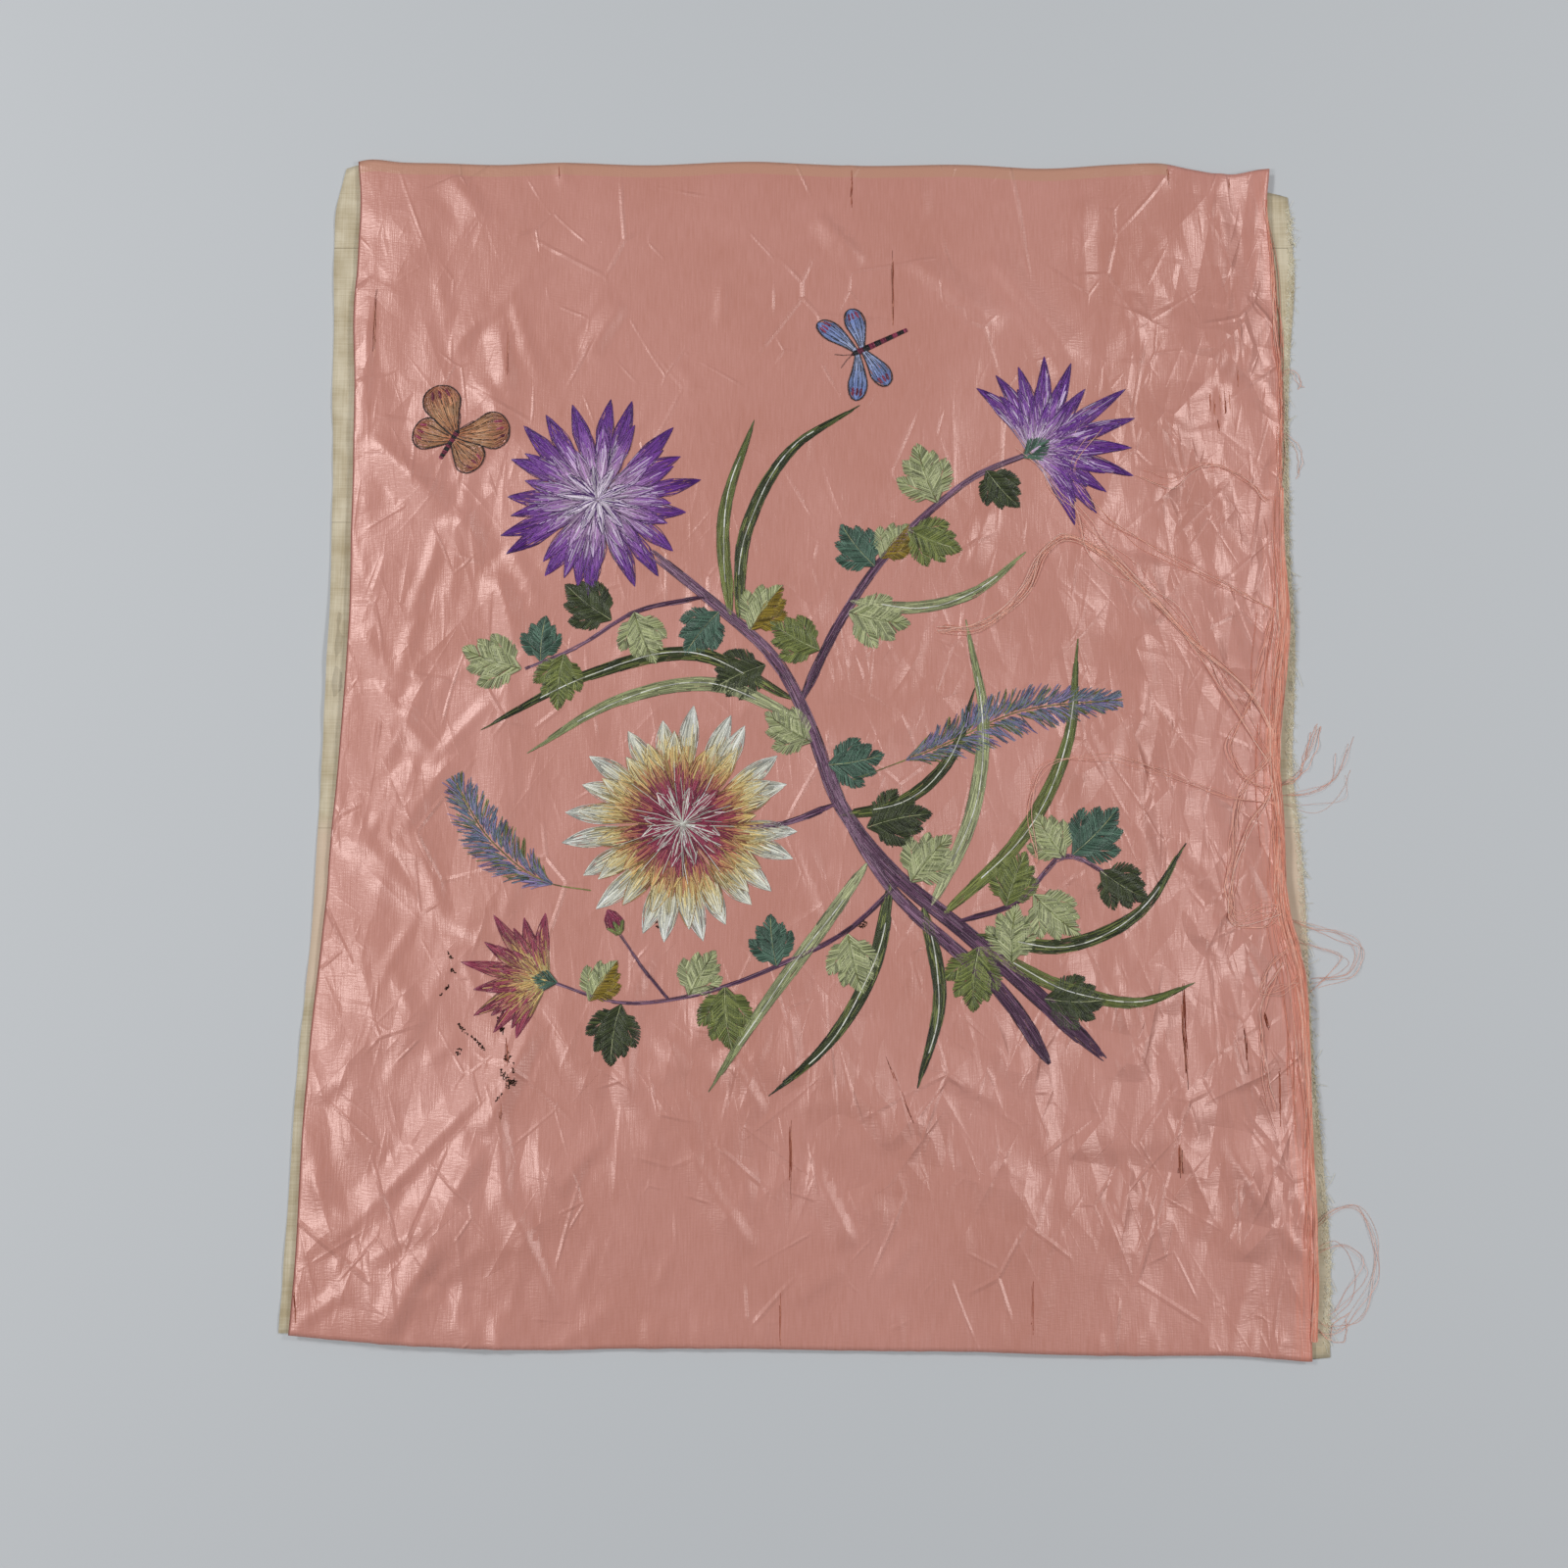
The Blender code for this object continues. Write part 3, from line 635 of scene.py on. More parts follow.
@dataclass(frozen=True)
class SilkSatin:
    """Silk satin, woven with long warp floats side by side.

    Its creases flash pale where they face the light, over a salmon ground with fine upright lines. Its
    threads are about 0.1 mm apart, too fine to show, so the weave's lines are drawn as coarse as the pitches
    here. Breaks are how often a line is broken in a metre.
    """

    ground: str = "#D59487"
    shade: str = "#CA8777"
    band: str = "#CC957D"
    # Painted shadow along the left edge, where the satin turns under.
    turned_edge_shadow: str = "#8A3E33"
    bare_warp: str = "#E4907A"
    highlight: str = "#FFE9E4"
    roughness: float = 0.39
    ior: float = 1.68
    warp_pitch: float = 0.75
    rib_pitch: float = 0.9
    warp_breaks: float = 80.0
    rib_breaks: float = 260.0
    weave_depth: float = 0.12
    band_width: float = 7.5
    band_end: float = 193.0
    fold_line: tuple = (0.9, 0.3)
    bare_from: tuple = (505.0, 514.0)
    bare_stray: float = 30.0
    bare_height: tuple = (190.0, 260.0)
    puckers: tuple = (Pucker(30.0, 84.0, 0.48, 0.12), Pucker(19.0, 62.0, 0.5, 0.12),
                      Pucker(12.0, 38.0, 0.45, 0.14), Pucker(20.0, 90.0, 0.46, 0.14, 0.72),
                      Pucker(17.0, 76.0, 0.46, 0.14, -0.62))
    facets: tuple = (Facet(38.0, 62.0, 0.13, 0.2), Facet(18.0, 38.0, 0.075, -0.25))
    mean_height: float = 2.1
    shift: float = 7.0
    line_nets: tuple = (LineNet(56.0, 1.3, 0.36, 0.35, 0.5), LineNet(34.0, 0.9, 0.34, -0.5, 0.3))

    def make(self) -> Material:
        """Build the satin's material.

        Returns:
            The material.
        """
        material, add, shader = new_material("silk_satin")
        place = add("TexCoord").outputs["Object"]
        streak = thread_lines(add, place, (1 / (self.warp_pitch * MM), self.warp_breaks, 1.0), 2.0)
        rib = thread_lines(add, place, (self.rib_breaks, 1 / (self.rib_pitch * MM), 1.0), 1.0)
        cloud = add("TexNoise", place, Scale=14.0, Detail=4.0)
        tone = add("Math", streak, cloud, operation="ADD")
        spread = add("MapRange", tone, 0.75, 1.25)
        colour = add("Mix", spread, linear(self.shade), linear(self.ground), data_type="RGBA")
        weave = add("Math", streak, rib, operation="ADD")
        fine = add("Bump", Strength=1.0, Distance=self.weave_depth * MM, Height=weave)
        puckered = add("Bump", Strength=1.0, Distance=1.0, Normal=fine,
                       Height=self.pucker_height(add, place))
        fill_in(shader, Base_Color=self.band_over(add, place, colour), Normal=puckered,
                Roughness=self.roughness, Specular_Tint=linear(self.highlight), IOR=self.ior,
                Specular_IOR_Level=1.0)
        return material

    def band_over(self, add: Adder, place: NodeSocket, colour: Node) -> Node:
        """Lay the selvedge's tan band, a painted shadow line where the left edge turns under, and the bare
        right edge.

        Args:
            add: adds a node to the material.
            place: where the shaded point is, in metres.
            colour: the plain satin's colour.
        Returns:
            The colour with all three on it.
        """
        uv = add("UVMap", uv_map="edges")
        from_left, from_top, _ = add("SeparateXYZ", uv).outputs
        low = add("MapRange", from_top, self.band_width * MM, (self.band_width - 0.6) * MM)
        across = add("SeparateXYZ", place)
        short = add("Math", across, self.band_end * MM, operation="LESS_THAN")
        mask = add("Math", low, short, operation="MULTIPLY")
        # Painted shadow: a dark line along the left edge, where the satin turns under.
        fold = add("MapRange", from_left, self.fold_line[0] * MM, self.fold_line[1] * MM, To_Max=0.85)
        ragged = thread_lines(add, place, (900.0, 26.0, 1.0), 1.0)
        uneven = add("Math", ragged, self.bare_stray * MM, from_left, operation="MULTIPLY_ADD")
        drawn = add("MapRange", from_top, self.bare_height[0] * MM, self.bare_height[1] * MM, To_Min=0.25,
                    To_Max=0.8)
        bare = add("MapRange", uneven, self.bare_from[0] * MM, self.bare_from[1] * MM, To_Max=drawn)
        for share, over in ((mask, self.band), (fold, self.turned_edge_shadow), (bare, self.bare_warp)):
            colour = add("Mix", share, colour, linear(over), data_type="RGBA")
        return colour

    def pucker_group(self) -> NodeTree:
        """Build the group that raises scattered upright creases.

        Each is crisp at its crest, fades away in a hollow curve on its face, and falls evenly down its back.

        Returns:
            The group. It takes a place in metres and gives a height in metres.
        """
        tree = bpy.data.node_groups.new("puckers", "ShaderNodeTree")
        add_sockets(tree, "INPUT", {"Place": "Vector", "Pitch": "Vector", "Across": "Float",
                                    "Crest slope": "Float", "Back slope": "Float"})
        add_sockets(tree, "OUTPUT", {"Height": "Float"})
        add = partial(add_node, tree)
        given = add("NodeGroupInput").outputs
        scaled = add("VectorMath", given["Place"], given["Pitch"], operation="DIVIDE")
        cells = add("TexVoronoi", scaled, voronoi_dimensions="2D", Scale=1.0)
        gap = add("VectorMath", scaled, cells.outputs["Position"], operation="SUBTRACT")
        real = add("VectorMath", gap, given["Pitch"], operation="MULTIPLY")
        known = {"panel_x": given["Across"], "crest_slope": given["Crest slope"],
                 "back_slope": given["Back slope"]}
        for names, source in ((("across", "up"), real), (("wide", "tall"), given["Pitch"]),
                              (("chance_size", "chance_lean", "chance_side"), cells.outputs["Color"])):
            known.update(zip(names, add("SeparateXYZ", source).outputs))
        steps = (
            ("lean", "MULTIPLY_ADD", "chance_lean", 0.9, -0.45),
            ("aside", "MULTIPLY_ADD", "lean", "up", "across"),
            ("outward", "MULTIPLY_ADD", "panel_x", 4.0, "chance_side"),
            ("outward", "SUBTRACT", "outward", 0.5),
            ("side", "SIGN", "outward", 0.0),
            ("aside", "MULTIPLY", "aside", "side"),
            ("size", "MULTIPLY_ADD", "chance_size", 1.5, -0.5),
            ("size", "MAXIMUM", "size", 0.0),
            ("reach", "MULTIPLY_ADD", "size", 0.25, 0.2),
            ("reach", "MULTIPLY", "reach", "tall"),
            ("along", "DIVIDE", "up", "reach"),
            ("along", "ABSOLUTE", "along"),
            ("full", "SUBTRACT", 1.0, "along"),
            ("full", "MAXIMUM", "full", 0.0),
            ("width", "MULTIPLY", "wide", 0.26),
            ("width", "MULTIPLY", "width", "size"),
            ("width", "MULTIPLY", "width", "full"),
            ("far", "ABSOLUTE", "panel_x"),
            ("flatter", "MULTIPLY_ADD", "far", -1.6, 1.0),
            ("crest", "MULTIPLY", "width", "crest_slope"),
            ("crest", "MULTIPLY", "crest", "flatter"),
            ("crest", "MULTIPLY", "crest", 0.5),
            ("narrow", "MAXIMUM", "width", 0.00002),
            ("left", "DIVIDE", "aside", "narrow"),
            ("left", "SUBTRACT", 1.0, "left"),
            ("left", "MAXIMUM", "left", 0.0),
            ("left", "POWER", "left", 2.0),
            ("face", "MULTIPLY", "left", "crest"),
            ("back", "MULTIPLY_ADD", "aside", "back_slope", "crest"),
            ("height", "MINIMUM", "face", "back"),
            ("height", "MAXIMUM", "height", 0.0),
        )
        for name, operation, *terms in steps:
            known[name] = add("Math", *(known.get(term, term) for term in terms), operation=operation)
        add("NodeGroupOutput", Height=known["height"])
        return tree

    def pucker_height(self, add: Adder, place: NodeSocket) -> Node:
        """Raise fine puckers, crisp facets and thin crease lines, where the satin is crumpled.

        Args:
            add: adds a node to the material.
            place: where the shaded point is, in metres.
        Returns:
            The height, in metres.
        """
        # The places are shifted smoothly, so that no crease is ruled.
        noise = add("TexNoise", place, Scale=13.0, Detail=0.0)
        middle = add("VectorMath", noise.outputs["Color"], (0.5, 0.5, 0.5), operation="SUBTRACT")
        shift = add("VectorMath", middle, self.shift * MM, operation="SCALE")
        bent = add("VectorMath", place, shift, operation="ADD")
        across = add("SeparateXYZ", place)
        group = self.pucker_group()
        total = None
        for pucker in self.puckers:
            turned = add("Mapping", bent, Rotation=(0.0, 0.0, pucker.turn))
            raised = add("Group", node_tree=group, Place=turned, Across=across,
                         Pitch=(pucker.across * MM, pucker.along * MM, 1.0), Crest_slope=pucker.crest_slope,
                         Back_slope=pucker.back_slope)
            total = raised if total is None else add("Math", total, raised, operation="MAXIMUM")
        for facet in self.facets:
            turned = add("Mapping", bent, Rotation=(0.0, 0.0, facet.turn))
            scale = (1 / (facet.across * MM), 1 / (facet.along * MM), 1.0)
            scaled = add("Mapping", turned, Scale=scale)
            peaks = add("TexVoronoi", scaled, voronoi_dimensions="2D", distance="MANHATTAN", Scale=1.0)
            total = add("Math", peaks, facet.slope * facet.across * MM, total, operation="MULTIPLY_ADD")
        level = add("Math", total, self.mean_height * MM, operation="SUBTRACT")
        worn = add("Attribute", attribute_name="worn").outputs["Fac"]
        patches = add("TexNoise", place, Scale=24.0, Detail=1.0)
        patch = add("MapRange", patches, 0.4, 0.6, To_Min=0.35, To_Max=1.15)
        depth = add("Math", patch, worn, operation="MULTIPLY")
        total = add("Math", level, depth, operation="MULTIPLY")
        for net in self.line_nets:
            total = self.net_lines(add, bent, net, total)
        return total

    def net_lines(self, add: Adder, place: Node, net: LineNet, total: Node) -> Node:
        """Raise scattered parts of a net of crease lines over the height so far.

        Args:
            add: adds a node to the material.
            place: the bent place.
            net: the net.
            total: the height so far, in metres.
        Returns:
            The new height, in metres.
        """
        spread = add("Mapping", place, Rotation=(0.0, 0.0, net.turn),
                     Scale=(1 / (net.mesh * MM), 0.7 / (net.mesh * MM), 1.0))
        cells = add("TexVoronoi", spread, voronoi_dimensions="2D", feature="DISTANCE_TO_EDGE", Scale=1.0)
        crest = add("MapRange", cells, From_Max=net.half_width / net.mesh, To_Max=0.0,
                    To_Min=net.slope * net.half_width * MM)
        noise = add("TexNoise", spread, Scale=1.4, Detail=1.0)
        shown = add("MapRange", noise, 0.62 - 0.3 * net.share, 0.74 - 0.3 * net.share)
        return add("Math", crest, shown, total, operation="MULTIPLY_ADD")


@dataclass(frozen=True)
class PlainCotton:
    """Unbleached cotton in plain weave, laundered thin: matte, with uneven thread lines both ways.

    Its threads are about 0.4 mm apart, and its lines are drawn twice as coarse, so that they show.
    """

    ground: str = "#DED2B8"
    shade: str = "#BCAC8C"
    tan: str = "#DCC2AC"
    # Painted shade along the lining's fold lines.
    fold_shade: str = "#7A6A50"
    fold_lines: tuple = ((261.5, 0.5), (109.0, 0.35), (-52.0, 0.3))
    fold_half_width: float = 0.3
    tan_middle: float = -92.0
    tan_reach: tuple = (48.0, 36.0)
    pitch: float = 0.9
    breaks: float = 40.0
    weave_depth: float = 0.15

    def make(self) -> Material:
        """Build the lining's material.

        Returns:
            The material.
        """
        material, add, shader = new_material("cotton_lining")
        place = add("TexCoord").outputs["Object"]
        lines = 1 / (self.pitch * MM)
        warp = thread_lines(add, place, (lines, self.breaks, 1.0), 2.0)
        weft = thread_lines(add, place, (self.breaks, lines, 1.0), 2.0)
        weave = add("Math", warp, weft, operation="ADD")
        cloud = add("TexNoise", place, Scale=60.0, Detail=5.0)
        tone = add("Math", cloud, 2.2, weave, operation="MULTIPLY_ADD")
        spread = add("MapRange", tone, 1.55, 2.5)
        colour = add("Mix", spread, linear(self.shade), linear(self.ground), data_type="RGBA")
        up = add("SeparateXYZ", place).outputs["Y"]
        middle = add("Math", up, -self.tan_middle * MM, operation="ADD")
        apart = add("Math", middle, operation="ABSOLUTE")
        low = add("MapRange", apart, self.tan_reach[0] * MM, self.tan_reach[1] * MM, To_Max=0.75)
        colour = add("Mix", low, colour, linear(self.tan), data_type="RGBA")
        # Painted shade: a dark line along each fold of the lining.
        for height, depth in self.fold_lines:
            line = add("Math", up, height * MM, self.fold_half_width * MM, operation="COMPARE")
            dark = add("Math", line, depth, operation="MULTIPLY")
            colour = add("Mix", dark, colour, linear(self.fold_shade), data_type="RGBA")
        bump = add("Bump", Strength=0.6, Distance=self.weave_depth * MM, Height=weave)
        fill_in(shader, Base_Color=colour, Normal=bump, Roughness=0.88, Specular_IOR_Level=0.25)
        return material


@dataclass(frozen=True)
class ThreadFinish:
    """Thread that carries its dye in the floss_colour attribute, with lighter and darker fibres in it.

    Loosely twisted floss shines most, drawn warp less, and scorched silk and cotton ends hardly at all.
    """

    name: str
    roughness: float
    gloss: float
    sheen: float = 0.2

    def make(self) -> Material:
        """Build the thread's material.

        Returns:
            The material.
        """
        material, add, shader = new_material(self.name)
        dye = add("Attribute", attribute_name="floss_colour")
        place = add("TexCoord").outputs["Object"]
        fibre = add("TexNoise", place, Scale=2600.0, Detail=1.0)
        level = add("MapRange", fibre, 0.3, 0.7, To_Min=0.84, To_Max=1.1)
        tinted = add("VectorMath", dye, level, operation="SCALE")
        fill_in(shader, Base_Color=tinted, Roughness=self.roughness, Specular_IOR_Level=self.gloss,
                Sheen_Weight=self.sheen)
        return material


# Sheets


@dataclass
class FineSheet:
    """A closed sheet of cloth: a fine upper side, and an underside in steps of a few cells."""

    columns: int
    rows: int
    step: int
    thickness: float

    def build(self, place: Callable, top: Callable) -> tuple[Array, list, Array]:
        """Make the sheet's points and faces.

        Args:
            place: turns shares of width and height into places.
            top: gives the height of the upper side at places.
        Returns:
            Points in millimetres, faces, and the shares of each point.
        """
        u, v = np.meshgrid(np.linspace(0, 1, self.columns + 1), np.linspace(0, 1, self.rows + 1),
                           indexing="ij")
        x, y = place(u, v)
        z = top(x, y)
        s = self.step
        low = np.s_[::s, ::s]
        verts = np.concatenate((np.stack((x, y, z), axis=-1).reshape(-1, 3),
                                np.stack((x[low], y[low], z[low] - self.thickness), axis=-1).reshape(-1, 3)))
        shares = np.concatenate([np.stack(pair, axis=-1).reshape(-1, 2)
                                 for pair in ((u, v), (u[low], v[low]))])
        fine = np.arange(x.size).reshape(x.shape)
        coarse = x.size + np.arange(x[low].size).reshape(x[low].shape)
        quads = ((fine[:-1, :-1], fine[1:, :-1], fine[1:, 1:], fine[:-1, 1:]),
                 (coarse[:-1, :-1], coarse[:-1, 1:], coarse[1:, 1:], coarse[1:, :-1]))
        faces = [face for quad in quads for face in np.stack(quad, axis=-1).reshape(-1, 4).tolist()]
        # Each face of a rim joins one step of the underside to the cells over it.
        for i in range(coarse.shape[0] - 1):
            near, far = fine[s * i:s * i + s + 1, 0], fine[s * i:s * i + s + 1, -1]
            faces.append([*coarse[i:i + 2, 0].tolist(), *near[::-1].tolist()])
            faces.append([*coarse[i:i + 2, -1][::-1].tolist(), *far.tolist()])
        for j in range(coarse.shape[1] - 1):
            left, right = fine[0, s * j:s * j + s + 1], fine[-1, s * j:s * j + s + 1]
            faces.append([*coarse[0, j:j + 2][::-1].tolist(), *left.tolist()])
            faces.append([*coarse[-1, j:j + 2].tolist(), *right[::-1].tolist()])
        return verts, faces, shares


@dataclass
class SatinFace:
    """The satin ground, in its creases."""

    outline: Outline
    crumple: Crumple
    lie: float = 1.9
    thickness: float = 0.35
    width: float = 500.0
    length: float = 614.0
    edge_dip: float = 0.12
    dip_width: float = 1.8
    calm_width: float = 40.0
    right_gain: float = 0.42

    def top(self, x: Array, y: Array) -> Array:
        """Find the height of the satin's upper side, which dips at its left, top and bottom edges.

        Args:
            x: places across.
            y: places up.
        Returns:
            Heights in millimetres.
        """
        inset = np.minimum(x - x[:1, :], np.minimum(y - y[:, :1], y[:, -1:] - y))
        dip = self.edge_dip * np.clip(1 - inset / self.dip_width, 0, 1)
        return self.lie + self.crumple.height(x, y) * np.clip(0.8 + inset / self.calm_width, 0, 1) - dip

    def build(self, finish: Material) -> Object:
        """Make the satin face, with its distances from the left and top edges as a UV map.

        Args:
            finish: the satin.
        Returns:
            The piece. Its worn attribute says how crumpled it is.
        """
        sheet = FineSheet(columns=312, rows=258, step=3, thickness=self.thickness)
        verts, faces, shares = sheet.build(self.outline.face_point, self.top)
        piece = mesh_object("satin_ground", verts, faces, finish)
        mesh = piece.data
        worn = mesh.attributes.new("worn", "FLOAT", "POINT")
        strength = self.crumple.strength(verts[:, 0], verts[:, 1])
        lean = 1 + self.right_gain * np.tanh(verts[:, 0] / 100)
        worn.data.foreach_set("value", (lean * np.clip(1.5 * strength - 0.2, 0, 1)).astype(np.float32))
        corners = np.zeros(len(mesh.loops), dtype=np.int32)
        mesh.loops.foreach_get("vertex_index", corners)
        edges = shares * (self.width * MM, -self.length * MM) + (0, self.length * MM)
        mesh.uv_layers.new(name="edges").data.foreach_set("uv", edges[corners].astype(np.float32).ravel())
        return piece


@dataclass
class Lining:
    """The cotton lining under the satin, which shows at both sides."""

    outline: Outline
    thickness: float = 0.6
    width: float = 514.0
    length: float = 612.0
    lift: float = 2.0
    lift_width: float = 8.0
    lift_place: float = 35.0
    lift_reach: float = 75.0
    ripple: float = 0.25

    def top(self, x: Array, y: Array) -> Array:
        """Find the height of the upper side, whose left margin lifts a little along one stretch.

        Args:
            x: places across.
            y: places up.
        Returns:
            Heights in millimetres.
        """
        inset = np.clip(1 - (x - self.outline.side("lining_left", y)) / self.lift_width, 0, 1)
        stretch = np.clip(1 - np.abs(y - self.lift_place) / self.lift_reach, 0, 1)
        wave = self.ripple * (1 + np.sin(y / 7.0 + 2 * np.sin(y / 23.0)))
        return self.thickness + 0.02 + self.lift * inset ** 2 * stretch + wave * np.clip(
            1 - (x + 245) / 12, 0, 1)

    def build(self, finish: Material) -> Object:
        """Make the lining.

        Args:
            finish: the cotton.
        Returns:
            The piece.
        """
        sheet = FineSheet(columns=120, rows=150, step=3, thickness=self.thickness)
        verts, faces, _ = sheet.build(self.outline.lining_point, self.top)
        return mesh_object("lining_cloth", verts, faces, finish)


@dataclass
class Ground:
    """What threads lie on: the satin, then the lining, then the table."""

    trees: list[BVHTree] = field(default_factory=list)

    def add(self, piece: Object) -> None:
        """Add a sheet, the uppermost first."""
        points = [tuple(v.co) for v in piece.data.vertices]
        self.trees.append(BVHTree.FromPolygons(points, [tuple(p.vertices) for p in piece.data.polygons]))

    def heights(self, x: Array, y: Array) -> Array:
        """Find the height of the uppermost surface under points.

        Args:
            x: places across, in millimetres.
            y: places up, in millimetres.
        Returns:
            Heights in millimetres.
        """
        down = Vector((0, 0, -1))
        out = np.zeros(len(x))
        for i, (px, py) in enumerate(zip((x * MM).tolist(), (y * MM).tolist())):
            for tree in self.trees:
                hit = tree.ray_cast(Vector((px, py, 0.05)), down)[0]
                if hit is not None:
                    out[i] = hit.z / MM
                    break
        return out


# Threads swept along paths


class ThreadPaths(NamedTuple):
    """Paths of threads: each row of points holds one thread, in millimetres."""

    points: Array
    half_widths: Array
    tints: Array


def one_thread(x: Array, y: Array, z: Array, half_width: float, tint: Array) -> ThreadPaths:
    """The path of one thread through points."""
    return ThreadPaths(np.stack((x, y, z), axis=-1)[None], np.array([half_width]), tint)


@dataclass(frozen=True)
class ThreadSweep:
    """The node tree that turns paths of edges into solid threads, with three sides and a flat foot.

    depth is a thread's height over its half width.
    """

    depth: float = 1.0

    def tree(self) -> tuple[NodeTree, dict[str, str]]:
        """Build the tree.

        Returns:
            The tree, and its inputs' identifiers by name.
        """
        tree = bpy.data.node_groups.new("thread_sweep", "GeometryNodeTree")
        ids = add_sockets(tree, "INPUT", {"Paths": "Geometry", "Section": "Vector", "Finish": "Material"})
        add_sockets(tree, "OUTPUT", {"Threads": "Geometry"})
        add = partial(add_node, tree)
        given = add("NodeGroupInput").outputs
        paths = add("MeshToCurve", given["Paths"])
        upright = add("SetCurveNormal", paths, mode="Z_UP")
        ring = add("CurvePrimitiveCircle", mode="RADIUS", Resolution=3, Radius=1.0)
        section = add("Transform", ring, Scale=given["Section"], Rotation=(0.0, 0.0, -math.pi / 2))
        size = add("InputNamedAttribute", data_type="FLOAT", Name="half_width")
        swept = add("CurveToMesh", upright, section, Scale=size, Fill_Caps=True)
        smooth = add("SetShadeSmooth", swept)
        solid = add("RealizeInstances", smooth)
        dressed = add("SetMaterial", solid, Material=given["Finish"])
        add("NodeGroupOutput", Threads=dressed)
        return tree, ids

    def sweep(self, name: str, bundles: Sequence[ThreadPaths], finish: Material) -> Object:
        """Make one piece of threads.

        Args:
            name: the piece's name.
            bundles: the threads' paths.
            finish: their material.
        Returns:
            The piece, as a plain mesh.
        """
        points, edges, widths, tints, base = [], [], [], [], 0
        for bundle in bundles:
            count, long = bundle.points.shape[:2]
            start = base + np.arange(count)[:, None] * long + np.arange(long - 1)[None, :]
            edges.append(np.stack((start, start + 1), axis=-1).reshape(-1, 2))
            points.append(bundle.points.reshape(-1, 3))
            widths.append(np.repeat(bundle.half_widths, long))
            tints.append(np.repeat(bundle.tints, long, axis=0))
            base += count * long
        piece = mesh_object(name, np.concatenate(points), [], finish, np.concatenate(edges).tolist())
        mesh = piece.data
        size = mesh.attributes.new("half_width", "FLOAT", "POINT")
        size.data.foreach_set("value", (np.concatenate(widths) * MM).astype(np.float32))
        dye = mesh.attributes.new("floss_colour", "FLOAT_COLOR", "POINT")
        colour = np.concatenate(tints)
        colour = np.concatenate((np.clip(colour, 0, 1), np.ones((len(colour), 1))), axis=1)
        dye.data.foreach_set("color", colour.astype(np.float32).ravel())
        tree, ids = self.tree()
        modifier = piece.modifiers.new("threads", "NODES")
        modifier.node_group = tree
        modifier[ids["Section"]] = (self.depth / 1.5, 2 / math.sqrt(3), 1.0)
        modifier[ids["Finish"]] = finish
        ready = piece.evaluated_get(bpy.context.evaluated_depsgraph_get())
        plain = bpy.data.meshes.new_from_object(ready)
        piece.modifiers.clear()
        piece.data = plain
        plain.name = name
        plain.attributes.remove(plain.attributes["half_width"])
        return piece


# Needlework


class Ramp(NamedTuple):
    """Dye that runs through colours, each at its share of the way."""

    colours: tuple[str, ...]
    places: tuple[float, ...] = (0.0, 1.0)

    def at(self, t: Array) -> Array:
        """The linear colour at shares of the way."""
        return read_columns(np.array([linear(colour)[:3] for colour in self.colours]), self.places, t)

    def pick(self, rng: Random, count: int, least: float = 0.0) -> Array:
        """Linear colours drawn from the ramp, none before the least share."""
        return self.at(rng.uniform(least, 1, count))


class Floss(Enum):
    """The flosses of the work, each from the base of a shape to its tip."""

    VIOLET = Ramp(("#D6BCD6", "#BA92C0", "#9158AC", "#6E3196", "#552078"), (0.0, 0.34, 0.58, 0.8, 1.0))
    VIOLET_DEEP = Ramp(("#5E2C80", "#451962"))
    LILAC = Ramp(("#EBDDEC", "#B99CCB"))
    CREAM_PETAL = Ramp(("#8E2C4E", "#A03E58", "#C48A60", "#DCC07C", "#E0D2A0", "#DEDCCA", "#E8EAE4"),
                       (0.0, 0.38, 0.48, 0.56, 0.66, 0.76, 1.0))
    CRIMSON_PETAL = Ramp(("#D9CB8A", "#D6B876", "#B05A66", "#962B55"), (0.0, 0.4, 0.6, 1.0))
    CRIMSON = Ramp(("#7E2546", "#9A3B5A"))
    GOLD = Ramp(("#B98A4C", "#CFAE6C"))
    IVORY = Ramp(("#F2F2EA", "#DDDCCB"))
    SAGE = Ramp(("#C0C398", "#969E6C"))
    MID_GREEN = Ramp(("#8B9250", "#616C38"))
    DARK_GREEN = Ramp(("#4C5530", "#2B331B"))
    TEAL = Ramp(("#5E7E6C", "#365243"))
    OLIVE = Ramp(("#A48D30", "#705A18"))
    STEM = Ramp(("#50304A", "#7A5370", "#9A7890"), (0.0, 0.6, 1.0))
    BLUE_GREY = Ramp(("#7D8AA0", "#56677F"))
    LAVENDER = Ramp(("#A18FB8", "#7F6DA0"))
    BLACK = Ramp(("#1A161A", "#262024"))
    SKY = Ramp(("#B4BCD8", "#8295C6", "#6E7FB4"), (0.0, 0.6, 1.0))
    TAN = Ramp(("#B4714A", "#CB9A72", "#B0664C"), (0.0, 0.5, 1.0))


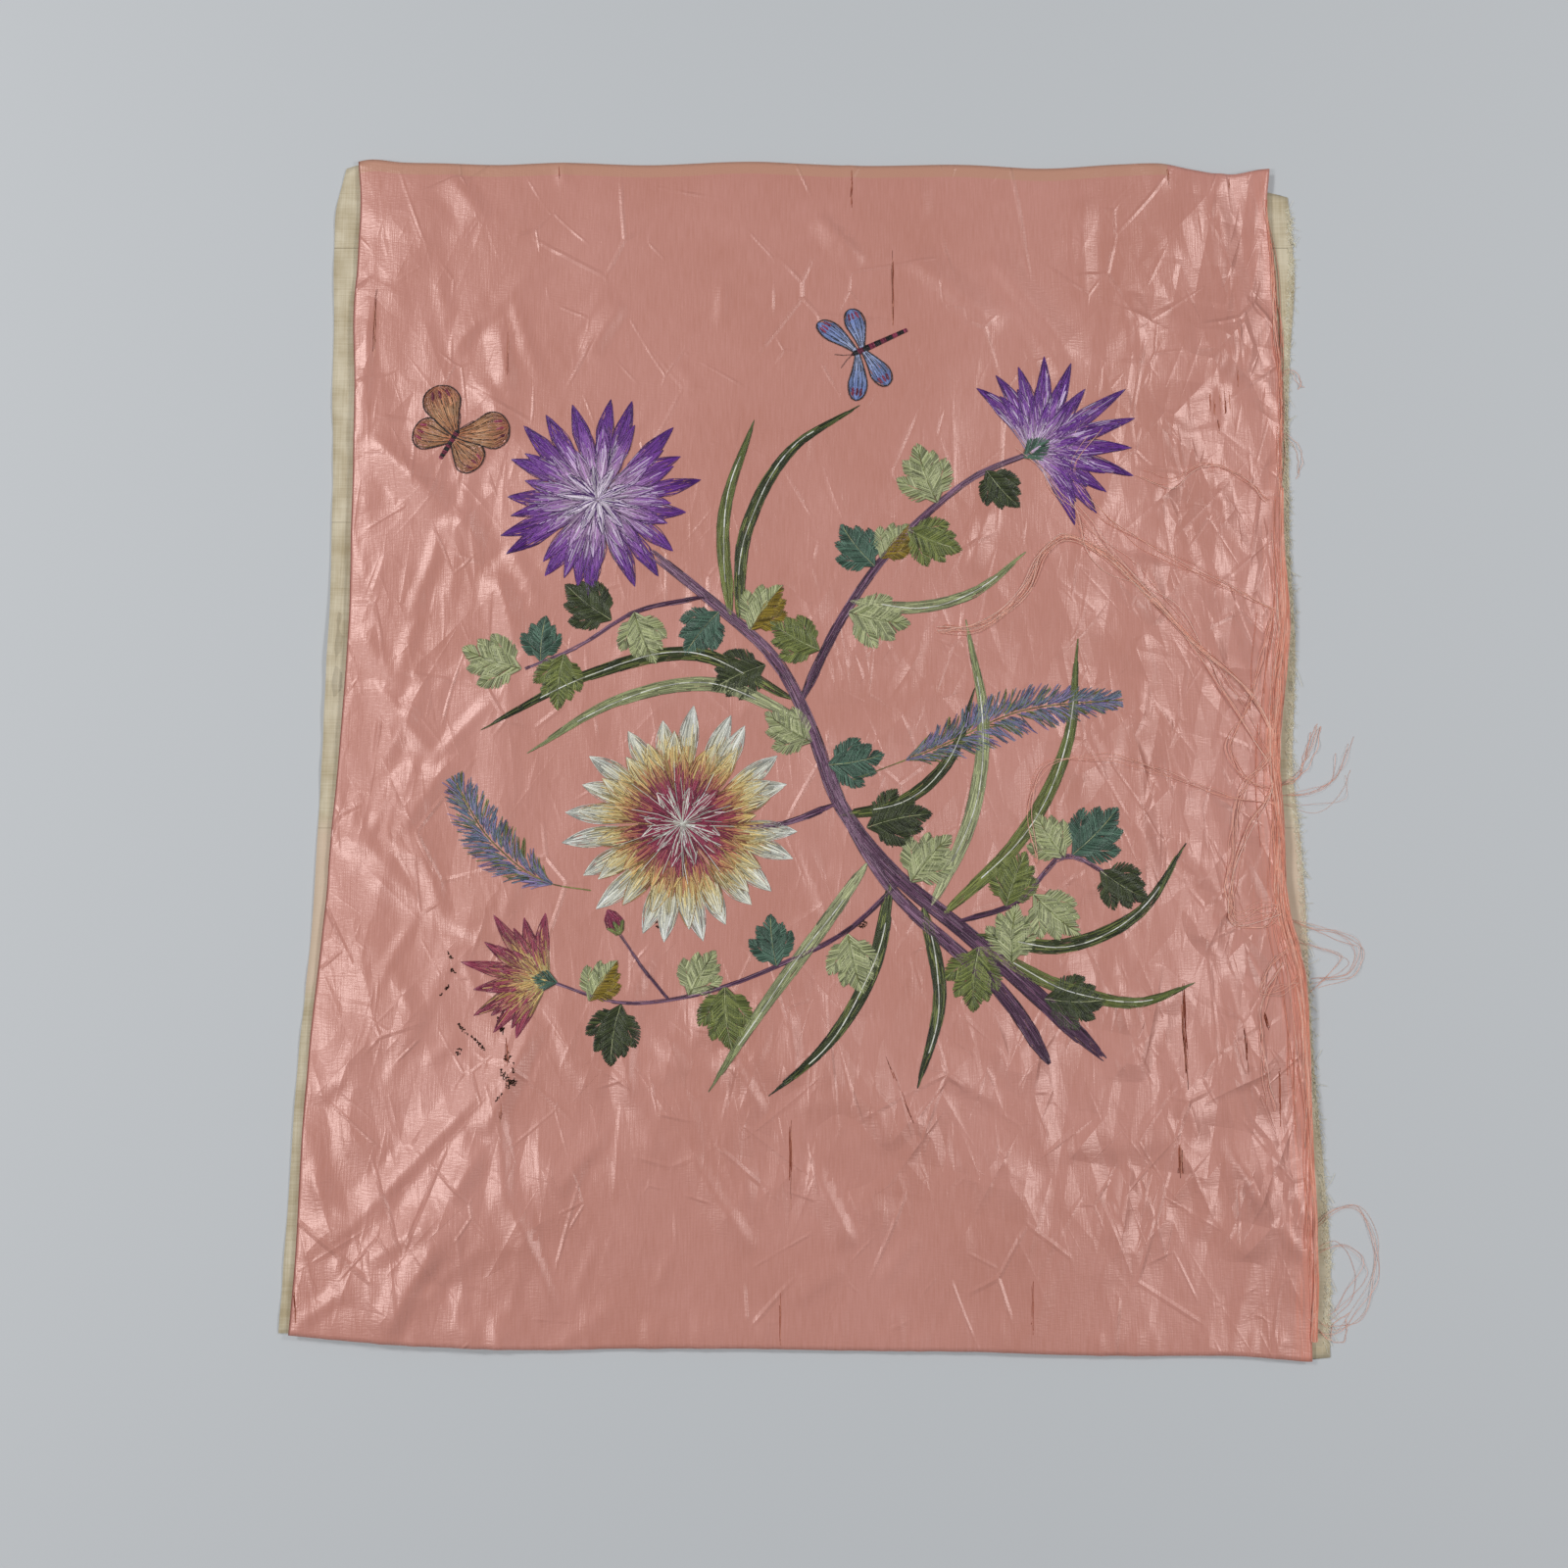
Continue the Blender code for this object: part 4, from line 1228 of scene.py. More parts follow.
class Profile(Enum):
    """How a shape's half width changes from its base to its tip."""

    PETAL = "petal"
    SPEAR = "spear"
    LEAF = "leaf"
    BLADE = "blade"
    STEM = "stem"
    WING = "wing"

    def at(self, t: Array) -> Array:
        """Find the half width at shares of the way.

        Args:
            t: shares of the way.
        Returns:
            Half widths, where 1 is the widest.
        """
        t = np.clip(t, 0, 1)
        if self is Profile.PETAL:
            swell = 0.25 + 0.75 * np.sin(np.minimum(t / 0.6, 1) * math.pi / 2)
            return swell * (1 - np.maximum((t - 0.6) / 0.4, 0) ** 1.7)
        if self is Profile.SPEAR:
            return np.minimum(0.42 + 0.9 * t, 1.0) * np.clip((1 - t) / 0.42, 0, 1) ** 0.8
        if self is Profile.LEAF:
            return np.sin(math.pi * t ** 0.84) ** 0.62
        if self is Profile.BLADE:
            return (t ** 0.4 * (1 - t) ** 0.75) / 0.543
        if self is Profile.WING:
            swell = 0.18 + 0.82 * np.minimum(t / 0.62, 1) ** 1.1
            return swell * np.sqrt(np.clip(1 - np.maximum((t - 0.62) / 0.38, 0) ** 2.4, 0, 1))
        return (1 - 0.45 * t) * np.minimum(1, 0.3 + 12 * t)


@dataclass
class AxisPatch:
    """A shape worked about an axis, such as a petal, a leaf, a blade or a stem."""

    route: Sequence[tuple[float, float]]
    half_width: float
    profile: Profile
    samples: int = 60

    def __post_init__(self) -> None:
        """Read the axis and its sides."""
        step = max(0.5, sum(math.dist(a, b) for a, b in zip(self.route, self.route[1:])) / self.samples)
        self.axis = smooth_route(self.route, step)
        self.shares = np.linspace(0, 1, len(self.axis))
        run = np.gradient(self.axis, axis=0)
        self.length = float(np.hypot(*np.diff(self.axis, axis=0).T).sum())
        run /= np.hypot(run[:, 0], run[:, 1])[:, None]
        self.sides = np.stack((-run[:, 1], run[:, 0]), axis=1)

    def breadth(self, t: Array) -> Array:
        """Half width in millimetres at shares of the way."""
        return self.half_width * self.profile.at(np.asarray(t, dtype=float))

    def point(self, t: Array, s: Array) -> Array:
        """Find places in the shape.

        Args:
            t: shares of the way along it.
            s: shares across it, from -1 at its right side to 1 at its left.
        Returns:
            Places, one to a row.
        """
        t = np.clip(t, 0, 1)
        at, side = (read_columns(table, self.shares, t) for table in (self.axis, self.sides))
        return at + side * (self.breadth(t) * s)[..., None]


@dataclass
class Needlework:
    """Stitches of silk floss, gathered flat in batches and then laid on the satin.

    The floss is drawn about 0.6 mm wide, and wider yet on the leaves, where the real one is 0.4 to 0.5 mm,
    so that fewer stitches cover the work.
    """

    rng: Random
    width: float = 0.6
    pitch: float = 0.5
    slanted_gain: float = 1.4
    rim_width: float = 0.34
    rim_lift: float = 0.07
    batches: list = field(default_factory=list)

    def stitches(self, starts: Array, ends: Array, tints: Array, width: float, lift: float) -> None:
        """Take straight stitches of slightly uneven widths and shades.

        Args:
            starts: where the needle comes up, one to a row.
            ends: where it goes down.
            tints: linear colours.
            width: width of the floss.
            lift: how far the stitches stand over the satin.
        """
        count = len(starts)
        if not count:
            return
        shades = tints * self.rng.uniform(0.48, 1.36, count)[:, None]
        half_widths = width / 2 * self.rng.uniform(0.85, 1.15, count)
        self.batches.append((starts, ends, shades, half_widths, lift + self.rng.uniform(0, 0.09, count)))

    def lengthwise(self, patch: AxisPatch, floss: Floss, lift: float = 0.0, stitch: float = 9.0,
                   fleck: Floss | None = None, fleck_reach: float = 0.7, blend: float = 0.07,
                   eye: tuple[float, float, float] | None = None, ragged: float = 0.0) -> None:
        """Fill a shape with long and short stitches that run along it.

        Args:
            patch: the shape.
            floss: its floss, from the base to the tip.
            lift: how far the stitches stand over the satin.
            stitch: their length.
            fleck: a floss for one stitch in four.
            fleck_reach: share of the way up to which that floss is used.
            blend: how far the colours wander along the shape.
            eye: a place and a reach, where the colours run out from there and not along the shape.
            ragged: share of the shape by which its ends are uneven.
        """
        widest = float(patch.breadth(np.linspace(0.05, 0.95, 19)).max())
        lanes = max(3, round(2 * widest / self.pitch))
        step = stitch / patch.length
        rows = []
        for lane in range(lanes):
            s = -1 + (2 * lane + 1) / lanes
            order = (lane * 0.618034 + 0.31) % 1
            t = -self.rng.uniform(0, 1) * step + self.rng.uniform(0, ragged)
            end = 1 - self.rng.uniform(0, ragged)
            while t < end:
                run = self.rng.uniform(0.7, 1.3) * step
                a, b = max(t, 0.0), min(t + 1.15 * run, 1.0)
                room = float(patch.breadth((a + b) / 2)) / widest * 1.2
                if b - a > 1.3 / patch.length and order < room:
                    rows.append((a, b, s))
                t += run
        a, b, s = np.array(rows).T
        drift = self.rng.normal(0, 0.5, len(a)) / lanes
        middle = (a + b) / 2
        if eye is not None:
            middle = np.hypot(*(patch.point(middle, s) - eye[:2]).T) / eye[2]
        middle = np.clip(middle + self.rng.normal(0, blend, len(a)), 0, 1)
        tints = floss.value.at(middle)
        if fleck is not None:
            chosen = (self.rng.random(len(a)) < 0.27) & (middle < fleck_reach)
            tints[chosen] = fleck.value.at(middle[chosen])
        # Painted shade: stitches darken towards a shape's sides and lighten in its middle, to give it form.
        tints = tints * (1.06 - 0.3 * np.abs(s) ** 2.5)[:, None]
        self.stitches(patch.point(a, s), patch.point(b, np.clip(s + drift, -1, 1)), tints, self.width, lift)

    def slanted(self, patch: AxisPatch, light: Floss, dark: Floss, lift: float = 0.0,
                slant: float = 0.2) -> None:
        """Fill a leaf with stitches that slant from its rib to its edges.

        Args:
            patch: the leaf.
            light: the floss right of the rib.
            dark: the floss left of it.
            lift: how far the stitches stand over the satin.
            slant: how far they run along the leaf.
        """
        count = max(6, int(patch.length / (self.slanted_gain * self.pitch)))
        for side, floss in ((-1, light), (1, dark)):
            t0 = np.clip(np.linspace(-0.08, 0.97, count) + self.rng.normal(0, 0.006, count), 0, 1)
            t1 = np.clip(t0 + slant * (1 - 0.4 * t0), 0, 1)
            reach = side * (1.0 + self.rng.uniform(-0.14, 0.08, count))
            root = np.full(count, 0.04 * side)
            self.stitches(patch.point(t0, root), patch.point(t1, reach),
                          floss.value.pick(self.rng, count), self.slanted_gain * self.width, lift)

    def run(self, points: Array, floss: Floss, stitch: float, width: float, lift: float) -> None:
        """Work a line of back stitches along points.

        Args:
            points: the line.
            floss: its floss.
            stitch: a stitch's length.
            width: the floss's width.
            lift: how far the stitches stand over the satin.
        """
        along = distances(points)
        count = max(1, int(round(along[-1] / stitch)))
        line = read_columns(points, along, np.linspace(0, along[-1], count + 1))
        self.stitches(line[:-1], line[1:] + 0.12 * (line[1:] - line[:-1]),
                      floss.value.pick(self.rng, count), width, lift)

    def rim(self, patch: AxisPatch, floss: Floss, width: float, lift: float,
            start: float = 0.0, stitch: float = 3.5) -> None:
        """Outline a shape, to its tip and back.

        Args:
            patch: the shape.
            floss: the outline's floss.
            width: the floss's width.
            lift: how far the stitches stand over the satin.
            start: share of the way where the outline starts.
            stitch: a stitch's length.
        """
        t = np.linspace(start, 1, 24)
        sides = (patch.point(t, np.full(24, -1.0)), patch.point(t[::-1], np.ones(24)))
        self.run(np.concatenate(sides), floss, stitch, width, lift)

    def lay(self, name: str, ground: Ground, finish: Material) -> Object:
        """Lay the stitches on the satin, report them and make their piece.

        Args:
            name: the piece's name.
            ground: what they lie on.
            finish: their material.
        Returns:
            The piece.
        """
        starts, ends, tints, half_widths, lifts = map(np.concatenate, zip(*self.batches))
        LOG.info("%s: %d stitches", name, len(starts))
        shares = np.linspace(0, 1, 7)
        flat = starts[:, None, :] + (ends - starts)[:, None, :] * shares[None, :, None]
        rise = ground.heights(flat[..., 0].ravel(), flat[..., 1].ravel()).reshape(flat.shape[:2])
        line = rise[:, 1:2] + (rise[:, 5:6] - rise[:, 1:2]) * np.linspace(0, 1, 5)[None, :]
        crest = np.maximum(rise[:, 1:6] - line, 0).max(axis=1)
        flat = flat[:, (0, 1, 5, 6)]
        z = rise[:, (0, 1, 5, 6)]
        # A stitch bridges the crests under it, and its ends go down into the satin.
        low, high = lifts * 0.5 - 0.12, lifts + crest + 0.16
        z += np.stack((low, high, high, low), axis=1)
        paths = ThreadPaths(np.concatenate((flat, z[..., None]), axis=-1), half_widths, tints)
        return ThreadSweep().sweep(name, [paths], finish)


# Motifs


def go_from(x: float, y: float, heading: float, reach: float) -> tuple[float, float]:
    """Find the place at a reach from another one, in a direction given in degrees."""
    turn = math.radians(heading)
    return x + reach * math.cos(turn), y + reach * math.sin(turn)


def bent_patch(x: float, y: float, heading: float, length: float, bend: float, half_width: float,
               profile: Profile) -> AxisPatch:
    """Set out a shape whose axis bends evenly.

    Args:
        x: where it starts, across.
        y: where it starts, up.
        heading: its direction at the start, in degrees.
        length: its length.
        bend: how far it turns to the left on its way, in degrees.
        half_width: half its width where it is widest.
        profile: how its half width changes along it.
    Returns:
        The shape.
    """
    points = [(x, y)]
    for part in range(3):
        points.append(go_from(*points[-1], heading + bend * (part + 0.5) / 3, length / 3))
    return AxisPatch(points, half_width, profile)


class PetalRing(NamedTuple):
    """A ring of like petals round a flower's middle, and the flosses that it is worked in."""

    count: int
    inner: float
    length: float
    half_width: float
    floss: Floss
    edge: Floss
    fleck: Floss | None


# The deep violet rims are partly painted shade: dark lines for the shadowed gaps between petals, over the
# floss's own deep violet.
VIOLET_RINGS = (
    PetalRing(19, 14, 39, 4.9, Floss.VIOLET, Floss.VIOLET_DEEP, Floss.LILAC),
    PetalRing(17, 9, 34, 4.3, Floss.VIOLET, Floss.VIOLET_DEEP, Floss.LILAC),
    PetalRing(14, 5, 27, 3.6, Floss.VIOLET, Floss.VIOLET_DEEP, Floss.LILAC),
    PetalRing(10, 1, 19, 3.0, Floss.LILAC, Floss.VIOLET_DEEP, Floss.VIOLET_DEEP),
)

CREAM_RINGS = (
    PetalRing(21, 22, 37, 5.0, Floss.CREAM_PETAL, Floss.IVORY, None),
    PetalRing(18, 16, 34, 5.0, Floss.CREAM_PETAL, Floss.GOLD, None),
    PetalRing(15, 9, 28, 4.6, Floss.CREAM_PETAL, Floss.GOLD, None),
    PetalRing(12, 1, 22, 4.0, Floss.CREAM_PETAL, Floss.CRIMSON, Floss.IVORY),
)


@dataclass
class RoundBloom:
    """A full flower head, seen from the front: petals in rings, then threads that radiate from the eye.

    Neighbouring rings are turned by half a petal. reach is how far its colours run out from its middle.
    """

    x: float
    y: float
    rings: tuple
    reach: float
    profile: Profile
    tilt: float
    eye: Floss
    eye_reach: float
    eye_count: int
    eye_width: float = 0.4
    eye_lift: float = 0.75
    ring_lift: float = 0.16

    def work(self, needle: Needlework) -> None:
        """Work the flower.

        Args:
            needle: the needlework.
        """
        for level, ring in enumerate(self.rings):
            for k in range(ring.count):
                turn = 360 * (k + 0.5 * (level % 2)) / ring.count + self.tilt + needle.rng.normal(0, 3.0)
                length = ring.length * needle.rng.uniform(0.84, 1.12)
                root = go_from(self.x, self.y, turn, ring.inner)
                bend = needle.rng.uniform(-16, 16)
                patch = bent_patch(*root, turn - bend / 3, length, bend, ring.half_width, self.profile)
                lift = self.ring_lift * level
                needle.lengthwise(patch, ring.floss, lift, fleck=ring.fleck, fleck_reach=0.6, blend=0.05,
                                  eye=(self.x, self.y, self.reach))
                needle.rim(patch, ring.edge, needle.rim_width, lift + needle.rim_lift, start=0.25)
        for turn in np.linspace(0, 360, self.eye_count, endpoint=False):
            length = self.eye_reach * needle.rng.uniform(0.5, 1.1)
            bend = needle.rng.uniform(-24, 24)
            heading = turn + needle.rng.normal(0, 5)
            thread = bent_patch(self.x, self.y, heading, length, bend, 0.5, Profile.STEM)
            needle.run(thread.axis, self.eye, 11.0, self.eye_width, self.eye_lift)


@dataclass
class SideBloom:
    """A flower seen from its side: pointed petals fan out of a green cup, in ever shorter layers."""

    x: float
    y: float
    heading: float
    reach: float
    petals: int
    spread: float
    half_width: float
    floss: Floss
    edge: Floss
    fleck: Floss
    cup: Floss = Floss.TEAL
    layers: tuple = (1.0, 0.8, 0.56)
    layer_lift: float = 0.14

    def work(self, needle: Needlework) -> None:
        """Work the flower.

        Args:
            needle: the needlework.
        """
        for level, share in enumerate(self.layers):
            count = self.petals - 2 * level
            for k in range(count):
                aside = (k / (count - 1) - 0.5) * self.spread * (1 - 0.12 * level)
                length = self.reach * share * (1 - 0.0016 * abs(aside)) * needle.rng.uniform(0.82, 1.1)
                patch = bent_patch(self.x, self.y, self.heading + aside - aside * 0.2, length, aside * 0.4,
                                   self.half_width * (1 - 0.12 * level), Profile.SPEAR)
                lift = self.layer_lift * level
                needle.lengthwise(patch, self.floss, lift, fleck=self.fleck)
                needle.rim(patch, self.edge, needle.rim_width, lift + needle.rim_lift, start=0.3)
        foot = go_from(self.x, self.y, self.heading + 180, 5)
        cup = bent_patch(*foot, self.heading, self.reach * 0.3, 0, self.reach * 0.13, Profile.LEAF)
        needle.slanted(cup, self.cup, self.cup, 0.5, slant=0.5)


class LeafRow(NamedTuple):
    """One leaf: where its stalk meets it, which way it points, its size and its floss."""

    x: float
    y: float
    heading: float
    length: float
    half_width: float
    bend: float
    light: Floss
    dark: Floss


GREENS = {
    "sage": (Floss.SAGE, Floss.SAGE),
    "mid": (Floss.MID_GREEN, Floss.MID_GREEN),
    "dark": (Floss.DARK_GREEN, Floss.DARK_GREEN),
    "teal": (Floss.TEAL, Floss.TEAL),
    "olive": (Floss.OLIVE, Floss.SAGE),
}


def leaf(x: float, y: float, heading: float, length: float, green: str, bend: float = 18.0) -> LeafRow:
    """Set out a leaf of one of the greens, about three times as long as its middle lobe is wide."""
    light, dark = GREENS[green]
    return LeafRow(x, y, heading, 1.1 * length, 0.26 * length, bend, light, dark)


LEAVES = tuple(leaf(*row) for row in (
    (116, -138, -10, 29, "dark"), (100, -120, 92, 27, "sage", -18), (84, -112, -105, 30, "mid"),
    (50, -80, 58, 29, "sage", -18), (28, -52, 20, 31, "dark", -16), (8, -20, 2, 27, "teal"),
    (0, -8, 156, 26, "sage", -18), (4, 40, 158, 27, "mid", -16), (-24, 32, 196, 28, "dark"),
    (-32, 50, 64, 27, "olive", -18), (-48, 60, 224, 26, "teal", 16), (19, 60, -20, 30, "sage"),
    (33, 84, 136, 26, "teal", -16), (50, 104, -30, 28, "mid"), (66, 118, 116, 31, "sage", -16),
    (92, 136, -58, 24, "dark"), (36, 88, 58, 22, "olive", -14), (-92, 60, -76, 27, "sage"),
    (-104, 56, 150, 28, "dark", -16), (-128, 38, -104, 27, "mid"), (-150, 30, 168, 30, "sage", -16),
    (-140, 34, 92, 22, "teal", -14), (18, -106, -84, 28, "sage"), (-18, -122, 104, 24, "teal", -14),
    (-44, -132, -92, 29, "mid"), (-96, -141, -108, 28, "dark"), (-112, -139, 62, 22, "olive", -14),
    (-62, -137, 66, 24, "sage", -12), (98, -92, 76, 27, "mid", -14), (112, -86, -50, 28, "sage"),
    (132, -66, 38, 31, "teal", 14), (128, -68, 128, 25, "sage", -14), (146, -74, -40, 26, "dark"),
))


class RouteRow(NamedTuple):
    """A stem or a blade: its half width, its floss and the points that it runs through."""

    half_width: float
    floss: Floss
    points: tuple


STEMS = tuple(RouteRow(*row) for row in (
    (4.6, Floss.STEM, ((146, -168), (112, -136), (76, -104), (40, -74), (14, -40), (0, -2), (-18, 34),
         (-48, 62), (-84, 92))),
    (4, Floss.STEM, ((118, -170), (96, -136), (70, -112), (42, -86), (22, -56), (8, -20))),
    (2.6, Floss.STEM, ((-6, 12), (12, 50), (34, 84), (60, 112), (88, 134), (116, 146))),
    (1.9, Floss.STEM, ((12, -40), (-14, -50), (-34, -52))),
    (1.3, Floss.STEM, ((46, -78), (18, -104), (-18, -122), (-58, -136), (-98, -140), (-130, -130))),
    (1.5, Floss.STEM, ((72, -100), (104, -90), (130, -66), (150, -76))),
    (1.3, Floss.STEM, ((-54, 68), (-92, 60), (-124, 40), (-148, 30))),
    (0.9, Floss.STEM, ((-72, -139), (-86, -122), (-97, -106))),
))

BLADES = tuple(RouteRow(*row) for row in (
    (3.8, Floss.MID_GREEN, ((66, -96), (104, -60), (130, -12), (138, 46))),
    (3.7, Floss.SAGE, ((60, -92), (80, -50), (88, 0), (80, 56))),
    (3.6, Floss.DARK_GREEN, ((82, -106), (126, -112), (164, -96), (190, -60))),
    (3.7, Floss.DARK_GREEN, ((40, -80), (30, -124), (6, -162), (-22, -186))),
    (3.5, Floss.DARK_GREEN, ((56, -92), (64, -136), (52, -182))),
    (3.5, Floss.SAGE, ((28, -70), (4, -104), (-30, -150), (-52, -184))),
    (3.7, Floss.SAGE, ((-6, 4), (-50, 22), (-98, 14), (-146, -14))),
    (3.6, Floss.DARK_GREEN, ((-10, 14), (-60, 38), (-112, 28), (-170, -2))),
    (3.4, Floss.DARK_GREEN, ((-38, 56), (-34, 104), (-10, 148), (26, 172))),
    (3.4, Floss.MID_GREEN, ((-42, 58), (-46, 110), (-30, 164))),
    (3.5, Floss.MID_GREEN, ((84, -112), (130, -134), (164, -140), (192, -130))),
    (3.3, Floss.DARK_GREEN, ((14, -46), (44, -40), (70, -18), (84, 20))),
    (3.2, Floss.SAGE, ((20, 66), (52, 62), (84, 70), (112, 92))),
))


@dataclass
class Foliage:
    """The leaves, the blades and their pale ribs, and the stems."""

    rib_width: float = 0.7
    vein_width: float = 0.4
    side_lobes: tuple = ((0.16, 50.0, 0.62, 0.19), (0.42, 38.0, 0.5, 0.15))

    def work_leaves(self, needle: Needlework) -> None:
        """Work the leaves: side lobes first, then the middle lobe over their roots.

        Args:
            needle: the needlework.
        """
        for row in LEAVES:
            middle = bent_patch(row.x, row.y, row.heading, row.length, row.bend, row.half_width, Profile.LEAF)
            for place, turn, length, half_width in self.side_lobes:
                for side in (-1, 1):
                    root = middle.point(np.array([place * 0.9]), np.zeros(1))[0]
                    heading = row.heading + row.bend * place + side * turn
                    lobe = bent_patch(*root, heading, row.length * length, -side * 16,
                                      row.length * half_width, Profile.LEAF)
                    floss = row.light if side < 0 else row.dark
                    needle.slanted(lobe, floss, floss, 0.1, slant=0.3)
            needle.slanted(middle, row.light, row.dark, 0.2)
            vein = Floss.SAGE if row.light is not Floss.SAGE else Floss.MID_GREEN
            rib = middle.point(np.linspace(-0.1, 0.94, 20), np.zeros(20))
            needle.run(rib, vein, 4.0, self.vein_width, 0.36)

    def work_blades(self, needle: Needlework) -> None:
        """Work the blades, each with an ivory rib along part of it.

        Args:
            needle: the needlework.
        """
        for row in BLADES:
            patch = AxisPatch(row.points, 1.15 * row.half_width, Profile.BLADE)
            fleck = Floss.SAGE if row.floss is Floss.SAGE else Floss.MID_GREEN
            needle.lengthwise(patch, row.floss, 0.06, stitch=8.0, fleck=fleck, fleck_reach=1.0)
            t = np.linspace(0.16, 0.8, 40)
            needle.run(patch.point(t, 0.22 * np.sin(11 * t)), Floss.IVORY, 5.0, self.rib_width, 0.4)

    def work_stems(self, needle: Needlework) -> None:
        """Work the woody stems and the thin stalks.

        Args:
            needle: the needlework.
        """
        for row in STEMS:
            ragged = 0.045 if row.half_width > 3 else 0.02
            stem = AxisPatch(row.points, row.half_width, Profile.STEM)
            needle.lengthwise(stem, row.floss, 0.1, stitch=10.0, blend=0.38, ragged=ragged)


@dataclass
class Sprig:
    """A feathery spike: short slanting stitches crowded along a thin stalk.

    density is the stitches to a millimetre of stalk, and mix their flosses, each with its share.
    """

    points: tuple
    bare: float = 0.2
    reach: float = 14.0
    density: float = 6.0
    width: float = 0.55
    lift: float = 0.12
    mix: tuple = ((Floss.MID_GREEN, 0.22), (Floss.BLUE_GREY, 0.44), (Floss.LAVENDER, 0.34))

    def work(self, needle: Needlework) -> None:
        """Work the sprig.

        Args:
            needle: the needlework.
        """
        stalk = AxisPatch(self.points, 0.6, Profile.STEM)
        needle.run(stalk.axis, Floss.MID_GREEN, 5.0, 0.6, 0.1)
        for floss, share in self.mix:
            count = int(share * self.density * stalk.length * (1 - self.bare))
            t = needle.rng.uniform(self.bare, 0.97, count)
            side = needle.rng.choice((-1.0, 1.0), count)
            swell = np.sin(math.pi * np.clip((t - self.bare) / (1 - self.bare), 0, 1) ** 0.75) ** 0.6
            out = side * self.reach * swell * needle.rng.uniform(0.25, 1.0, count)
            starts = stalk.point(t, out * 0.2 / stalk.breadth(t))
            ahead = np.clip(t + needle.rng.uniform(5, 10, count) / stalk.length, 0, 1)
            needle.stitches(starts, stalk.point(ahead, out / stalk.breadth(ahead)),
                            floss.value.pick(needle.rng, count), self.width, self.lift)


@dataclass
class Insect:
    """A winged insect: wings worked lengthwise with black outlines, a barred body and feelers.

    veins and spots are their places across a wing, as shares of its half width.
    """

    x: float
    y: float
    heading: float
    wings: tuple
    body: float
    fill: Floss
    bars: Floss
    body_half_width: float = 1.9
    outline_width: float = 0.62
    veins: tuple = (-0.55, 0.0, 0.5)
    spots: tuple = (-0.5, 0.0, 0.45)

    def work(self, needle: Needlework) -> None:
        """Work the insect.

        Args:
            needle: the needlework.
        """
        for turn, length, half_width, back in self.wings:
            for side in (-1, 1):
                root = go_from(self.x, self.y, self.heading + 180, back)
                patch = bent_patch(*root, self.heading + side * turn, length, -side * 14, half_width,
                                   Profile.WING)
                needle.lengthwise(patch, self.fill, 0.06, stitch=6.0)
                needle.rim(patch, Floss.BLACK, self.outline_width, 0.3, stitch=2.4)
                for s in self.veins:
                    vein = patch.point(np.linspace(0.08, 0.72, 16), np.full(16, s))
                    needle.run(vein, Floss.BLACK, 4.0, 0.36, 0.28)
                for s in self.spots:
                    spot = patch.point(np.linspace(0.74, 0.88, 3), np.full(3, s))
                    needle.run(spot, self.bars, 3.0, 1.5, 0.3)
        tail = bent_patch(self.x, self.y, self.heading, -self.body, 0, self.body_half_width, Profile.STEM)
        count = int(tail.length / 0.5)
        t = np.linspace(0, 1, count)
        tints = np.where((np.sin(t * 30) > 0)[:, None], Floss.BLACK.value.at(t), self.bars.value.at(t))
        needle.stitches(tail.point(t, np.full(count, -1.0)), tail.point(t, np.ones(count)), tints, 0.5, 0.35)
        for side in (-1, 1):
            feeler = bent_patch(self.x, self.y, self.heading + side * 16, 9, side * 20, 0.4, Profile.STEM)
            needle.run(feeler.axis, Floss.BLACK, 4.5, 0.28, 0.2)


@dataclass
class Bud:
    """A tight bud in its cup, whose leaves stand aside by the angles in cup."""

    x: float
    y: float
    heading: float
    length: float = 14.0
    half_width: float = 5.0
    cup: tuple = (-38, 0, 38)
    cup_length: float = 7.5
    cup_half_width: float = 1.6

    def work(self, needle: Needlework) -> None:
        """Work the bud.

        Args:
            needle: the needlework.
        """
        petals = bent_patch(self.x, self.y, self.heading, self.length, 0, self.half_width, Profile.LEAF)
        needle.lengthwise(petals, Floss.CRIMSON, 0.1, stitch=6.0)
        for aside in self.cup:
            cup_leaf = bent_patch(self.x, self.y, self.heading + aside, self.cup_length, 0,
                                  self.cup_half_width, Profile.LEAF)
            needle.lengthwise(cup_leaf, Floss.MID_GREEN, 0.3, stitch=5.0)


